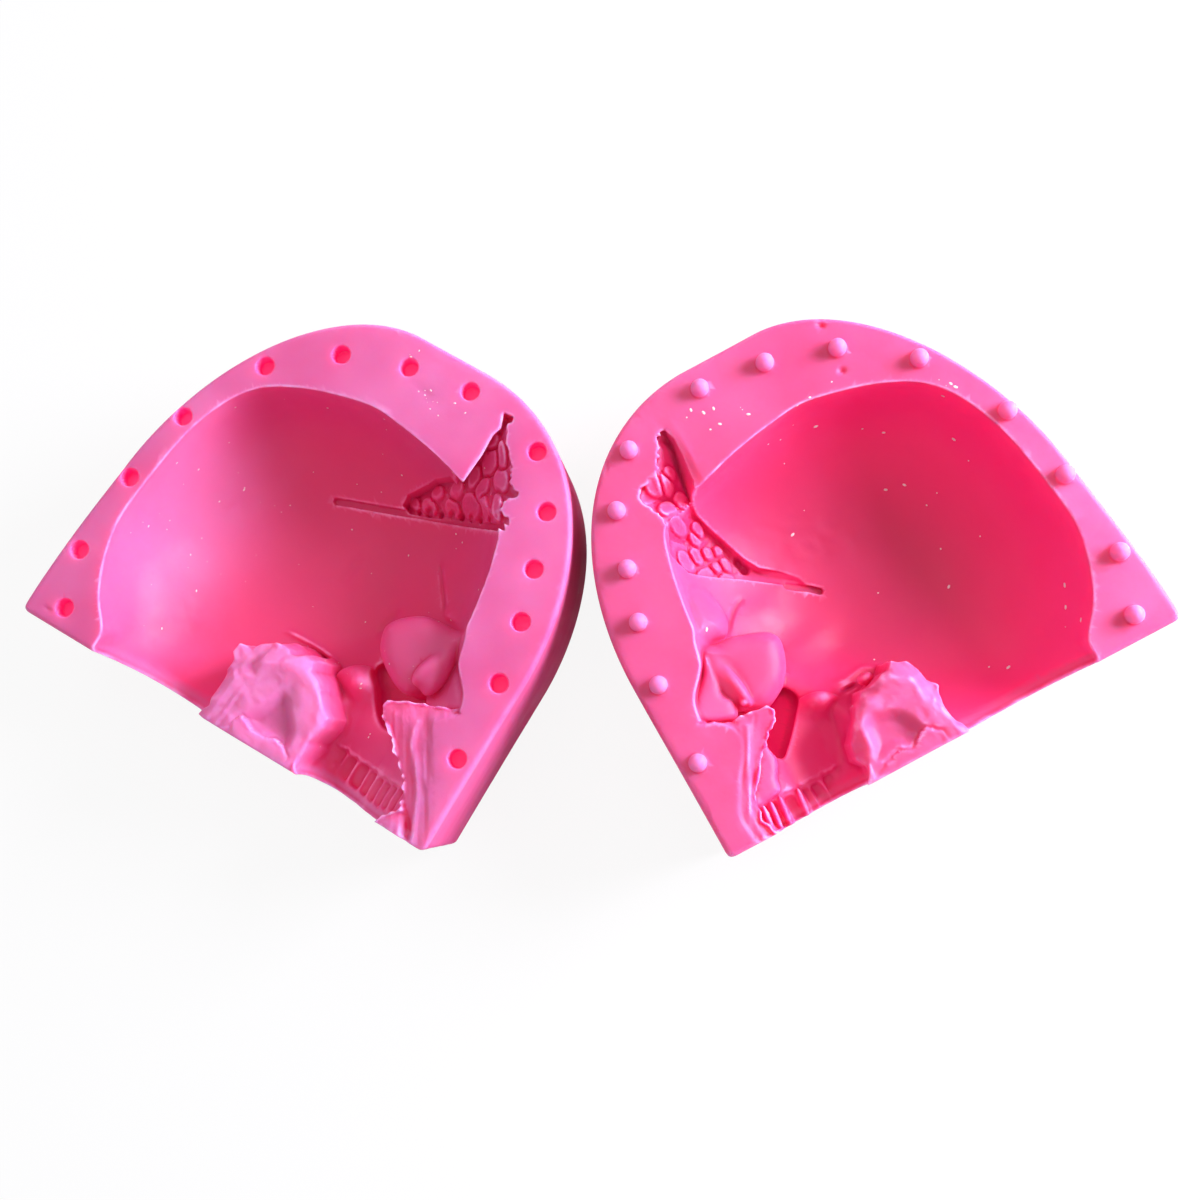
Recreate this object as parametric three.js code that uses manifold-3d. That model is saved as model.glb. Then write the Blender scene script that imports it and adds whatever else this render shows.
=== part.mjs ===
// Two-part silicone mould for casting a skull that wears a tiara.
// Millimetres, +Z up. Both halves lie on their backs with their parting faces up, side by side,
// as mirror images of each other in the plane X = 0. The origin is under the middle of the pair.
// In a half's own frame x runs towards the face of the skull, y from the pour end to the crown,
// and z = 0 is the parting face, so the half reaches down to z = -halfThickness.
import * as THREE from 'three';
import * as BufferGeometryUtils from 'three/addons/utils/BufferGeometryUtils.js';
import Module from 'manifold-3d';

const wasm = await Module();
wasm.setup();

// Block of one half
const backFoot = 73.8;
const faceFoot = 72;
const blockHeight = 133;
const backShoulderHeight = 52;
const faceShoulderHeight = 58;
const crownFlatBack = -10;
const crownFlatFace = 14;
const backShoulderInset = 4;
const backShoulderReach = 38.8;
const backShoulderLean = 3;
const crownBackReach = 31;
const crownBackDrop = 1.2;
const crownFaceReach = 35;
const faceShoulderReach = 43;
const faceFlare = 1;
const halfThickness = 48;
const edgeRounding = 1.4;
const footRounding = 2.5;

// Keys along the side wall: distance along the wall from the back foot, and distance in from it
const keyPlaces = [
  [5, 11.9],
  [22.5, 5.2],
  [49.5, 4.3],
  [75, 4.3],
  [106, 5.4],
  [132.5, 9.7],
  [161, 10.2],
  [181.5, 7.7],
  [214, 5.8],
  [235, 7.6],
  [255, 10.4],
  [273, 9.6],
  [293.5, 7],
  [318.5, 5.9],
];
const pegDiameter = 5;
const pegHeight = 4.4;
const keyClearance = 0.3;
const keyTipRoom = 0.8;
const keySides = 16;

// Skull: the hollow of one half, open at the parting face and at the pour end
const craniumMiddle = [-6, 52];
const craniumLowest = [-9, 57];
const craniumDepth = 39.5;
const craniumFullness = 2.3;
const faceMiddle = [42, 27];
const faceLowest = [38, 26];
const faceDepth = 25;
const faceFullness = 2.6;
const cheekDepth = 36;
const cheekRadius = 8.5;
const toothCount = 6;
const toothRadius = 2.5;
const headbandWidth = 1.8;
const headbandRelief = 1.5;
const tiaraDepth = 24;
const tiaraPostLength = 21;
const tiaraPostPitch = 5.6;
const tiaraPostRadius = 1.7;
const coreTop = 0.8;
const coreBevel = 1.5;
const coreSpread = 1.08;
const overcut = 3;

// Placing of the halves and the closing line between them
const baseMiddleFromClosingLine = 107;
const halfTurnDeg = 29;

function v2(x, y) {
  return new THREE.Vector2(x, y);
}

function toSolid(geometry) {
  const bare = geometry.index ? geometry.toNonIndexed() : geometry.clone();
  bare.deleteAttribute('normal');
  bare.deleteAttribute('uv');
  const merged = BufferGeometryUtils.mergeVertices(bare, 1e-4);
  const mesh = new wasm.Mesh({
    numProp: 3,
    vertProperties: new Float32Array(merged.attributes.position.array),
    triVerts: new Uint32Array(merged.index.array),
  });
  return new wasm.Manifold(mesh);
}

function toGeometry(solid, mirrored) {
  const mesh = solid.getMesh();
  const flip = mirrored ? -1 : 1;
  const position = [];
  for (let i = 0; i < mesh.triVerts.length; i += 3) {
    const order = mirrored ? [0, 2, 1] : [0, 1, 2];
    for (const corner of order) {
      const at = mesh.triVerts[i + corner] * mesh.numProp;
      position.push(flip * mesh.vertProperties[at]);
      position.push(mesh.vertProperties[at + 1]);
      position.push(mesh.vertProperties[at + 2]);
    }
  }
  const geometry = new THREE.BufferGeometry();
  geometry.setAttribute('position', new THREE.Float32BufferAttribute(position, 3));
  geometry.computeVertexNormals();
  return geometry;
}

// Straight prism of a shape from z = bottom to z = top
function prism(shape, bottom, top, curveSegments = 8) {
  const settings = { depth: top - bottom, bevelEnabled: false, curveSegments };
  return toSolid(new THREE.ExtrudeGeometry(shape, settings).translate(0, 0, bottom));
}

// Rings of one outline, scaled about a middle at each level from the top down, closed at both ends
function stack(outline, levels) {
  const rim = THREE.ShapeUtils.isClockWise(outline) ? outline.slice().reverse() : outline;
  const count = rim.length;
  const position = [];
  for (const level of levels) {
    for (const p of rim) {
      position.push(level.middle.x + (p.x - level.from.x) * level.scale);
      position.push(level.middle.y + (p.y - level.from.y) * level.scale);
      position.push(level.z);
    }
  }
  const first = levels[0];
  const last = levels[levels.length - 1];
  const top = levels.length * count;
  position.push(first.middle.x, first.middle.y, first.z);
  position.push(last.middle.x, last.middle.y, last.z);
  const index = [];
  for (let i = 0; i < count; i += 1) {
    const j = (i + 1) % count;
    index.push(top, i, j);
    for (let k = 0; k + 1 < levels.length; k += 1) {
      const a = k * count + i;
      const b = k * count + j;
      index.push(a, a + count, b);
      index.push(b, a + count, b + count);
    }
    const base = (levels.length - 1) * count;
    index.push(base + j, base + i, top + 1);
  }
  const geometry = new THREE.BufferGeometry();
  geometry.setAttribute('position', new THREE.Float32BufferAttribute(position, 3));
  geometry.setIndex(index);
  return toSolid(geometry);
}

function smoothRim(points, count) {
  const corners = points.map(([x, y]) => new THREE.Vector3(x, y, 0));
  const curve = new THREE.CatmullRomCurve3(corners, true, 'centripetal');
  return curve.getSpacedPoints(count).slice(0, count).map((p) => v2(p.x, p.y));
}

// Bowl below a rim: the rim shrinks towards a lowest point along a full, rounded profile
function bowl(rim, from, lowest, depth, fullness, rings) {
  const levels = [{ scale: 1, z: overcut, from, middle: from }];
  for (let i = 0; i < rings; i += 1) {
    const down = Math.sin((i / (rings - 0.5)) * (Math.PI / 2));
    const scale = Math.pow(1 - Math.pow(down, fullness), 1 / fullness);
    levels.push({ scale, z: -depth * down, from, middle: from.clone().lerp(lowest, down) });
  }
  return stack(rim, levels);
}

function ellipsoid(centre, radii, turnDeg = 0, around = 18) {
  const ball = new THREE.SphereGeometry(1, around, Math.round(0.6 * around)).scale(radii[0], radii[1], radii[2]);
  ball.rotateZ(THREE.MathUtils.degToRad(turnDeg));
  return toSolid(ball.translate(centre[0], centre[1], centre[2]));
}

// Side wall of the block, from the back foot over the crown to the face foot
function sideWall() {
  const wall = new THREE.Path();
  const rise = backShoulderHeight;
  const shoulder = backShoulderInset - backFoot;
  const lean = shoulder + backShoulderLean;
  const crownEnd = crownFlatBack - crownBackReach;
  const cheek = faceFoot + faceFlare;
  const temple = faceShoulderHeight + faceShoulderReach;
  wall.moveTo(-backFoot, footRounding);
  wall.bezierCurveTo(-backFoot, 0.35 * rise, shoulder - backShoulderInset / 2, 0.7 * rise, shoulder, rise);
  wall.bezierCurveTo(lean, rise + backShoulderReach, crownEnd, blockHeight - crownBackDrop, crownFlatBack, blockHeight);
  wall.lineTo(crownFlatFace, blockHeight);
  wall.bezierCurveTo(crownFlatFace + crownFaceReach, blockHeight, cheek, temple, cheek, faceShoulderHeight);
  wall.lineTo(faceFoot, footRounding);
  return wall;
}

function blockShape() {
  const shape = new THREE.Shape(sideWall().getSpacedPoints(60));
  shape.quadraticCurveTo(faceFoot, 0, faceFoot - footRounding, 0);
  shape.lineTo(footRounding - backFoot, 0);
  shape.quadraticCurveTo(-backFoot, 0, -backFoot, footRounding);
  return shape;
}

function block() {
  const settings = {
    depth: halfThickness - 2 * edgeRounding,
    bevelEnabled: true,
    bevelThickness: edgeRounding,
    bevelSize: edgeRounding,
    bevelOffset: -edgeRounding,
    bevelSegments: 2,
    curveSegments: 3,
  };
  const body = new THREE.ExtrudeGeometry(blockShape(), settings);
  return toSolid(body.translate(0, 0, edgeRounding - halfThickness));
}

// Where a key stands: along the wall, then straight in from it
function keyPlace(along, inset) {
  const wall = sideWall();
  const share = along / wall.getLength();
  const point = wall.getPointAt(share);
  const tangent = wall.getTangentAt(share);
  return v2(point.x + tangent.y * inset, point.y - tangent.x * inset);
}

// Round-ended key along +z from z = 0, used for pegs and, larger, for their sockets
function key(radius, height) {
  const straight = height - radius;
  const profile = [v2(0, -overcut / 3), v2(radius, -overcut / 3), v2(radius, straight)];
  for (const angle of [30, 60]) {
    const a = THREE.MathUtils.degToRad(angle);
    profile.push(v2(radius * Math.cos(a), straight + radius * Math.sin(a)));
  }
  profile.push(v2(0, height));
  return new THREE.LatheGeometry(profile, keySides).rotateX(Math.PI / 2);
}

function pegs() {
  let all = null;
  for (const [along, inset] of keyPlaces) {
    const at = keyPlace(along, inset);
    const peg = toSolid(key(pegDiameter / 2, pegHeight).translate(at.x, at.y, 0));
    all = all ? all.add(peg) : peg;
  }
  return all;
}

function sockets() {
  let all = null;
  for (const [along, inset] of keyPlaces) {
    const at = keyPlace(along, inset);
    const hole = new THREE.CylinderGeometry(
      pegDiameter / 2 + keyClearance,
      pegDiameter / 2 + keyClearance,
      pegHeight + keyTipRoom + overcut,
      keySides,
    );
    hole.rotateX(Math.PI / 2);
    hole.translate(at.x, at.y, (overcut - pegHeight - keyTipRoom) / 2);
    const socket = toSolid(hole);
    all = all ? all.add(socket) : socket;
  }
  return all;
}

// Rims on the parting face, in a half's own frame
const craniumRim = [
  [-45.6, 0], [-54.4, 16.2], [-60, 29], [-61.2, 44], [-58.2, 64], [-53.4, 80.4], [-43.8, 93.8],
  [-24, 104.4], [-7, 107], [12.5, 103.9], [28, 99.5], [40, 93], [46.2, 80], [48.5, 68],
  [49, 55], [42, 38], [25, 18], [6, 4], [-10, -3], [-28, -5],
];
const faceRim = [
  [20, 30], [24, 46], [36, 58], [49, 59.5], [53, 51.5], [58.9, 45], [60, 36], [59.6, 24],
  [59.4, 10], [57, 0], [50, -3.4], [36, -3.4], [26, 2], [21, 16],
];
const noseFin = [
  [64, 41], [57.6, 38.7], [46, 35.7], [40.4, 33], [40.8, 29.4], [47.5, 23.4],
  [52.8, 19], [56.6, 15.4], [58.6, 9], [64, 9],
];
const socketSideCore = [
  [-9.4, -6], [-7.6, 6], [-9, 16], [-9, 24.4], [0, 30.2], [12.5, 31.2], [20, 25.4], [26.4, 17],
  [25.4, 5], [26, -6],
];
const pegSideCore = [
  [-7.6, -6], [-3.8, 6], [-5, 15.6], [-2.4, 22], [2.8, 28], [14.9, 24.6], [22, 16.8], [26, 8.4], [25.4, -6],
];
// The tiara leans, so each half holds another part of it: its slot, its headband's course, and the
// triangle of posts between the headband (start to end) and the tip
const socketSideTiara = {
  slot: [
    [25.6, 100], [26.2, 112], [25.6, 124], [28.7, 124.2], [33, 114], [39.5, 104.5], [44.3, 95.5], [33, 93.6],
    [20.7, 90.6], [8.5, 87.2], [2, 86], [4, 92], [11, 98.5], [18, 101.5],
  ],
  band: [[-18.6, 77.9], [-2.3, 83.4], [20.7, 90.6], [33.1, 93.4], [44.8, 94.8]],
  posts: { start: [9, 89.5], end: [42.5, 96.5], tip: [28.5, 124] },
};
const pegSideTiara = {
  slot: [
    [28.4, 98], [25.5, 104], [25.5, 116], [27.5, 121], [30.5, 119.2], [34.5, 110], [42.5, 104], [44.3, 92],
    [41, 81], [30, 75], [21.5, 70.5], [21.5, 76], [25, 85],
  ],
  band: [[6, 58.8], [17.3, 66.6], [32.2, 75.7], [41, 80.2], [44.8, 89]],
  posts: { start: [24, 73.5], end: [43.5, 88], tip: [29.5, 119] },
};
// Lumps that fill the eye socket and, on one side only, the hollow beside the nose
const socketSideLumps = [
  { middle: [36, 48.4, -16], radii: [12.5, 11.5, 13] },
];
const pegSideLumps = [
  { middle: [38.5, 46, -16], radii: [11.5, 11.5, 13] },
  { middle: [54, 43.5, -12], radii: [7, 8.5, 9.5] },
];

function shapeOf(points) {
  return new THREE.Shape(points.map(([x, y]) => v2(x, y)));
}

// Strip of one width along a curve through points, as a flat shape
function strip(points, width) {
  const curve = new THREE.SplineCurve(points.map(([x, y]) => v2(x, y)));
  const left = [];
  const right = [];
  const steps = 14;
  for (let i = 0; i <= steps; i += 1) {
    const p = curve.getPoint(i / steps);
    const t = curve.getTangent(i / steps);
    left.push(v2(p.x - (t.y * width) / 2, p.y + (t.x * width) / 2));
    right.unshift(v2(p.x + (t.y * width) / 2, p.y - (t.x * width) / 2));
  }
  return new THREE.Shape(left.concat(right));
}

function cranium(relief) {
  const from = v2(...craniumMiddle);
  const rim = smoothRim(craniumRim, 54).map((p) => {
    const out = p.clone().sub(from);
    return out.setLength(out.length() + relief).add(from);
  });
  return bowl(rim, from, v2(...craniumLowest), craniumDepth + relief, craniumFullness, 9);
}

function faceHollow() {
  return bowl(smoothRim(faceRim, 36), v2(...faceMiddle), v2(...faceLowest), faceDepth, faceFullness, 7);
}

// Tooth prints along half of the dental arch, from the front tooth back
function teeth() {
  let all = null;
  for (let i = 0; i < toothCount; i += 1) {
    const angle = THREE.MathUtils.degToRad(6 + (72 * i) / (toothCount - 1));
    const at = [34 + 25.4 * Math.cos(angle), 8.5, -0.86 * faceDepth * Math.sin(angle)];
    const print = ellipsoid(at, [toothRadius, 4.2, toothRadius], 0, 10);
    all = all ? all.add(print) : print;
  }
  return all;
}

// Silicone posts that fill the openwork of the tiara: rows that shorten towards its tip
function tiaraPosts({ start, end, tip }) {
  const sideLength = (v2(...tip).distanceTo(v2(...start)) + v2(...tip).distanceTo(v2(...end))) / 2;
  const rowCount = Math.round(sideLength / tiaraPostPitch);
  const width = v2(...end).distanceTo(v2(...start));
  let all = null;
  for (let row = 0; row < rowCount; row += 1) {
    const rise = (row + 0.5) / rowCount;
    const count = Math.max(1, Math.round((width * (1 - rise)) / tiaraPostPitch));
    for (let i = 0; i < count; i += 1) {
      const at = v2(...start).lerp(v2(...end), (i + 0.5) / count).lerp(v2(...tip), rise);
      const post = new THREE.CylinderGeometry(tiaraPostRadius, 1.2 * tiaraPostRadius, tiaraPostLength, 6);
      post.rotateX(Math.PI / 2);
      post.translate(at.x, at.y, tiaraPostLength / 2 - tiaraDepth - overcut / 2);
      const solid = toSolid(post);
      all = all ? all.add(solid) : solid;
    }
  }
  return all;
}

function eyeLumps(lumps) {
  let all = null;
  for (const { middle, radii } of lumps) {
    const solid = ellipsoid(middle, radii);
    all = all ? all.add(solid) : solid;
  }
  return all;
}

// Lump that fills the underside of the skull, torn hollow on its top
function coreLump(core) {
  const from = v2(10, 12);
  const rim = core.map(([x, y]) => v2(x, y));
  const levels = [
    { scale: 0.93, z: -coreTop, from, middle: from },
    { scale: 1, z: -coreTop - coreBevel, from, middle: from },
    { scale: coreSpread, z: -craniumDepth - overcut, from, middle: from },
  ];
  return stack(rim, levels).subtract(ellipsoid([12.5, 11, 1], [7.5, 10, 6.5], 20));
}

// The half skull that the silicone was poured around
function halfSkull(tiara, lumps, core) {
  const band = prism(strip(tiara.band, headbandWidth), -craniumDepth - overcut, overcut);
  const slot = prism(shapeOf(tiara.slot), -tiaraDepth, overcut);
  const cheek = ellipsoid([34.5, 31, 14 - cheekDepth], [cheekRadius, 1.15 * cheekRadius, 14], 25);
  return cranium(0)
    .add(cranium(headbandRelief).intersect(band))
    .add(faceHollow())
    .subtract(eyeLumps(lumps))
    .add(cheek)
    .add(teeth())
    .add(prism(shapeOf(core), -coreTop - 2 * coreBevel, overcut))
    .subtract(coreLump(core))
    .subtract(prism(shapeOf(noseFin), -13, overcut))
    .add(slot.subtract(tiaraPosts(tiara.posts)));
}

function half(name, solid, mirrored, colour) {
  const material = new THREE.MeshStandardMaterial({ color: colour, roughness: 0.42, metalness: 0 });
  const mesh = new THREE.Mesh(toGeometry(solid, mirrored), material);
  const side = mirrored ? 1 : -1;
  mesh.name = name;
  mesh.rotation.z = side * THREE.MathUtils.degToRad(halfTurnDeg);
  mesh.position.set(side * baseMiddleFromClosingLine, 0, halfThickness);
  return mesh;
}

const mould = new THREE.Group();
const socketSideSkull = halfSkull(socketSideTiara, socketSideLumps, socketSideCore);
const pegSideSkull = halfSkull(pegSideTiara, pegSideLumps, pegSideCore);
const socketHalf = block().subtract(socketSideSkull).subtract(sockets());
const pegHalf = block().subtract(pegSideSkull).add(pegs());
mould.add(half('socket_half', socketHalf, false, 0xe8589e));
mould.add(half('peg_half', pegHalf, true, 0xf0569f));

// Both halves move together in y until the pair is centred over the origin
mould.updateMatrixWorld(true);
const box = new THREE.Box3().setFromObject(mould, true);
mould.position.y = -(box.min.y + box.max.y) / 2;

export default mould;
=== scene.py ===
"""Looks of a two-part silicone mould for a skull that wears a tiara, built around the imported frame.

Each half is sculpted as a solid field on a fine grid: a block with a rounded edge, less the half
skull that the silicone was poured around, plus its keys. The field is turned into one closed mesh.
A half's own millimetres run u towards the face of the skull, v from the pour end to the crown and
w up from the parting face, which is w = 0.
"""
import math

import bpy
import numpy as np
import openvdb
from bpy.props import FloatProperty, FloatVectorProperty, IntProperty, PointerProperty
from mathutils import Matrix, Vector


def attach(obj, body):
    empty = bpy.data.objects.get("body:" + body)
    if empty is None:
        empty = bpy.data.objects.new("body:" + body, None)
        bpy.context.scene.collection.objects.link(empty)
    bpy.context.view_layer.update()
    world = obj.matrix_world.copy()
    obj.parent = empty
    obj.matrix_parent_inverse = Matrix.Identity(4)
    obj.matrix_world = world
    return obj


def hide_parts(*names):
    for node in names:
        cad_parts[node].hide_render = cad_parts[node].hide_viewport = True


bl_info = {
    "name": "Skull mould looks",
    "version": (1, 0, 0),
    "blender": (4, 5, 0),
    "location": "View3D > Sidebar > Skull mould",
    "description": "Silicone halves, keys, dust and studio of a two-part skull mould",
    "category": "Object",
}

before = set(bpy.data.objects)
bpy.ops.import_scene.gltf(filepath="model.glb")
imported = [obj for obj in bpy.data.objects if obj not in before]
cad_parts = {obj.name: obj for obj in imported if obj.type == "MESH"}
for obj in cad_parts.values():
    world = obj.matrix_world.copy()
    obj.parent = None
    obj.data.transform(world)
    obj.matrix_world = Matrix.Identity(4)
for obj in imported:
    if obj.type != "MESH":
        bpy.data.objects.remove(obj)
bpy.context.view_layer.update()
MM = 0.001

# Block and keys
BACK_FOOT = 73.8
FACE_FOOT = 72.0
BLOCK_HEIGHT = 133.0
BACK_SHOULDER = 52.0
FACE_SHOULDER = 58.0
CROWN_FLAT = (-10.0, 14.0)
FOOT_ROUNDING = 2.5
KEY_PLACES = (
    (5, 11.9), (22.5, 5.2), (49.5, 3.9), (75, 3.75), (106, 5.4), (132.5, 9.7), (161, 10.2),
    (181.5, 7.7), (214, 5.8), (235, 7.6), (255, 10.4), (273, 9.6), (293.5, 7), (318.5, 5.9),
)
CLOSING_LINE = 107.0
HALF_TURN = math.radians(29)

# Rims on the parting face
CRANIUM_RIM = (
    (-46.3, 0), (-47.6, 7), (-54.2, 15.6), (-59, 26), (-61.6, 38), (-60.9, 50), (-59.8, 59),
    (-58.3, 68), (-56.1, 76.5), (-51, 87.6), (-44.6, 95), (-35, 100.4), (-23.7, 104.2), (-10, 106.8),
    (0, 105.8), (12.5, 103.6), (25.4, 100), (34, 97.5), (42, 93.4), (45.6, 84), (47.6, 74),
    (49, 63), (49, 50), (42, 36), (25, 18), (6, 4), (-10, -3), (-30, -5),
)
CRANIUM_MIDDLE = (-6.0, 52.0)
CRANIUM_LOWEST = (-9.0, 57.0)
CRANIUM_DEPTH = 39.5
CRANIUM_FULLNESS = 2.3
FACE_RIM = (
    (20, 30), (24, 46), (36, 58), (49, 61), (52.6, 52.5), (58.7, 45), (60, 40), (59.8, 30),
    (59.6, 20), (59.2, 8), (56, 0), (50, -4), (36, -4), (26, 2), (21, 16),
)
FACE_MIDDLE = (42.0, 27.0)
FACE_LOWEST = (38.0, 26.0)
FACE_DEPTH = 25.0
FACE_FULLNESS = 2.6


# Reach of the sculpting grid
GRID_U = (-77.0, 76.5)
GRID_V = (-3.4, 136.4)
GRID_W = (-49.4, 5.8)


class Plan:
    """Level grid over one half, in its own millimetres."""

    def __init__(self, step):
        self.step = step
        reaches = (GRID_U, GRID_V, GRID_W)
        self.u, self.v, self.w = (np.arange(*reach, step, dtype=np.float32) for reach in reaches)
        self.uu, self.vv = np.meshgrid(self.u, self.v, indexing="ij")

    def origin(self):
        return np.array([self.u[0], self.v[0], self.w[0]], np.float64)


def bezier(a, b, c, d, count):
    t = np.linspace(0, 1, count, endpoint=False)[:, None]
    a, b, c, d = (np.array(p, float) for p in (a, b, c, d))
    return (1 - t) ** 3 * a + 3 * t * (1 - t) ** 2 * b + 3 * t * t * (1 - t) * c + t ** 3 * d


def side_wall():
    """The block's side wall, from the back foot over the crown to the face foot."""
    bf, ff, bs, fs, top = BACK_FOOT, FACE_FOOT, BACK_SHOULDER, FACE_SHOULDER, BLOCK_HEIGHT
    left, right = CROWN_FLAT
    foot = FOOT_ROUNDING
    runs = [
        bezier((-bf, foot), (-bf, 0.35 * bs), (2 - bf, 0.7 * bs), (4 - bf, bs), 60),
        bezier((4 - bf, bs), (7 - bf, bs + 38.8), (left - 31, top - 1.2), (left, top), 120),
        np.array([(left, top)]),
        bezier((right, top), (right + 35, top), (ff + 1, 101), (ff + 1, fs), 120),
        np.array([(ff + 1, fs), (ff, foot)]),
    ]
    return np.concatenate(runs)


def along_wall(wall, distance, inset):
    """The point at a distance along the wall, then straight in from it."""
    steps = np.linalg.norm(np.diff(wall, axis=0), axis=1)
    run = np.concatenate([[0], np.cumsum(steps)])
    i = int(np.clip(np.searchsorted(run, distance) - 1, 0, len(steps) - 1))
    tangent = (wall[i + 1] - wall[i]) / steps[i]
    point = wall[i] + tangent * (distance - run[i])
    return point + np.array([tangent[1], -tangent[0]]) * inset


def rounded(start, corner, end):
    """Short curve round a corner."""
    t = np.linspace(0, 1, 6)[:, None]
    start, corner, end = np.array(start), np.array(corner), np.array(end)
    return (1 - t) ** 2 * start + 2 * t * (1 - t) * corner + t * t * end


def block_outline():
    foot = FOOT_ROUNDING
    right = rounded((FACE_FOOT, foot), (FACE_FOOT, 0), (FACE_FOOT - foot, 0))
    left = rounded((foot - BACK_FOOT, 0), (-BACK_FOOT, 0), (-BACK_FOOT, foot))
    return np.concatenate([side_wall(), right[1:], left[:-1]])


def closed_curve(points, per_span=10):
    """Smooth closed curve through points, evenly eased between them."""
    p = np.array(points, float)
    out = []
    count = len(p)
    for i in range(count):
        a, b, c, d = p[i - 1], p[i], p[(i + 1) % count], p[(i + 2) % count]
        t0 = 0.0
        t1 = t0 + np.linalg.norm(b - a) ** 0.5
        t2 = t1 + np.linalg.norm(c - b) ** 0.5
        t3 = t2 + np.linalg.norm(d - c) ** 0.5
        t = np.linspace(t1, t2, per_span, endpoint=False)[:, None]
        ab = (t1 - t) / (t1 - t0) * a + (t - t0) / (t1 - t0) * b
        bc = (t2 - t) / (t2 - t1) * b + (t - t1) / (t2 - t1) * c
        cd = (t3 - t) / (t3 - t2) * c + (t - t2) / (t3 - t2) * d
        abc = (t2 - t) / (t2 - t0) * ab + (t - t0) / (t2 - t0) * bc
        bcd = (t3 - t) / (t3 - t1) * bc + (t - t1) / (t3 - t1) * cd
        out.append((t2 - t) / (t2 - t1) * abc + (t - t1) / (t2 - t1) * bcd)
    return np.concatenate(out)


def open_curve(points, count):
    """Smooth open curve through points."""
    p = np.array(points, float)
    p = np.concatenate([[2 * p[0] - p[1]], p, [2 * p[-1] - p[-2]]])
    out = []
    spans = len(p) - 3
    for i in range(spans):
        a, b, c, d = p[i:i + 4]
        t = np.linspace(0, 1, count // spans + 1)[:, None]
        cubic = 2 * b + (c - a) * t + (2 * a - 5 * b + 4 * c - d) * t ** 2 + (3 * b - a - 3 * c + d) * t ** 3
        out.append(cubic / 2)
    return np.concatenate(out)


def ragged(points, size, depth, seed):
    """A torn edge: the outline is cut into short steps that jump in and out."""
    rng = np.random.RandomState(seed)
    p = np.array(points, float)
    out = []
    for a, b in zip(p[:-1], p[1:]):
        length = np.linalg.norm(b - a)
        count = max(1, int(round(length / size)))
        side = np.array([b[1] - a[1], a[0] - b[0]]) / max(length, 1e-6)
        for i in range(count):
            t = (i + rng.uniform(-0.3, 0.3) * (i > 0)) / count
            push = rng.uniform(-1, 1) * depth * (i > 0)
            out.append(a + (b - a) * t + side * push)
    out.append(p[-1])
    return [tuple(q) for q in out]


def outline_distance(points, uu, vv):
    """Distance to a closed outline, negative inside."""
    p = np.array(points, np.float32)
    best = np.full(uu.shape, 1e9, np.float32)
    inside = np.zeros(uu.shape, bool)
    for (x0, y0), (x1, y1) in zip(p, np.roll(p, -1, axis=0)):
        ex, ey = x1 - x0, y1 - y0
        length = ex * ex + ey * ey
        if length < 1e-9:
            continue
        px, py = uu - x0, vv - y0
        t = np.clip((px * ex + py * ey) / length, 0, 1)
        best = np.minimum(best, (px - t * ex) ** 2 + (py - t * ey) ** 2)
        if ey != 0:
            crossing = (vv < y0) != (vv < y1)
            inside ^= crossing & (uu < x0 + py * (ex / ey))
    best = np.sqrt(best)
    return np.where(inside, -best, best)


def path_distance(points, uu, vv):
    """Distance to an open path, and how far along it the nearest point lies."""
    p = np.array(points, np.float32)
    best = np.full(uu.shape, 1e9, np.float32)
    where = np.zeros(uu.shape, np.float32)
    run = 0.0
    for (x0, y0), (x1, y1) in zip(p[:-1], p[1:]):
        ex, ey = x1 - x0, y1 - y0
        length = max(float(ex * ex + ey * ey), 1e-9)
        px, py = uu - x0, vv - y0
        t = np.clip((px * ex + py * ey) / length, 0, 1)
        d = (px - t * ex) ** 2 + (py - t * ey) ** 2
        nearer = d < best
        best = np.where(nearer, d, best)
        where = np.where(nearer, run + t * math.sqrt(length), where)
        run += math.sqrt(length)
    return np.sqrt(best), where


def smooth_min(a, b, k):
    h = np.maximum(k - np.abs(a - b), 0) / k
    return np.minimum(a, b) - h * h * (k / 4)


def smooth_max(a, b, k):
    return -smooth_min(-a, -b, k)


def ease(a, b, x):
    t = np.clip((x - a) / (b - a), 0, 1)
    return t * t * (3 - 2 * t)


class Grain:
    """Smooth seeded noise on a coarse lattice, given one level at a time."""

    def __init__(self, plan, seed, size):
        self.along = [self.weights(axis, size) for axis in (plan.u, plan.v, plan.w)]
        rng = np.random.RandomState(seed)
        shape = [m.shape[1] for m in self.along]
        self.values = rng.uniform(-1, 1, shape).astype(np.float32)

    @staticmethod
    def weights(axis, size):
        x = (axis - axis[0]) / size
        cell = np.floor(x).astype(int)
        t = x - cell
        m = np.zeros((len(axis), cell[-1] + 4), np.float32)
        rows = np.arange(len(axis))
        m[rows, cell] = (1 - t) ** 3 / 6
        m[rows, cell + 1] = (3 * t ** 3 - 6 * t ** 2 + 4) / 6
        m[rows, cell + 2] = (-3 * t ** 3 + 3 * t ** 2 + 3 * t + 1) / 6
        m[rows, cell + 3] = t ** 3 / 6
        return m

    def level(self, k):
        mu, mv, mw = self.along
        return 2.2 * (mu @ (self.values @ mw[k]) @ mv.T)


def turned(plan, turn, u=0.0, v=0.0):
    """Plan coordinates about a place, along and across a direction in degrees."""
    a = math.radians(turn)
    du, dv = plan.uu - u, plan.vv - v
    return du * math.cos(a) + dv * math.sin(a), dv * math.cos(a) - du * math.sin(a)


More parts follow.
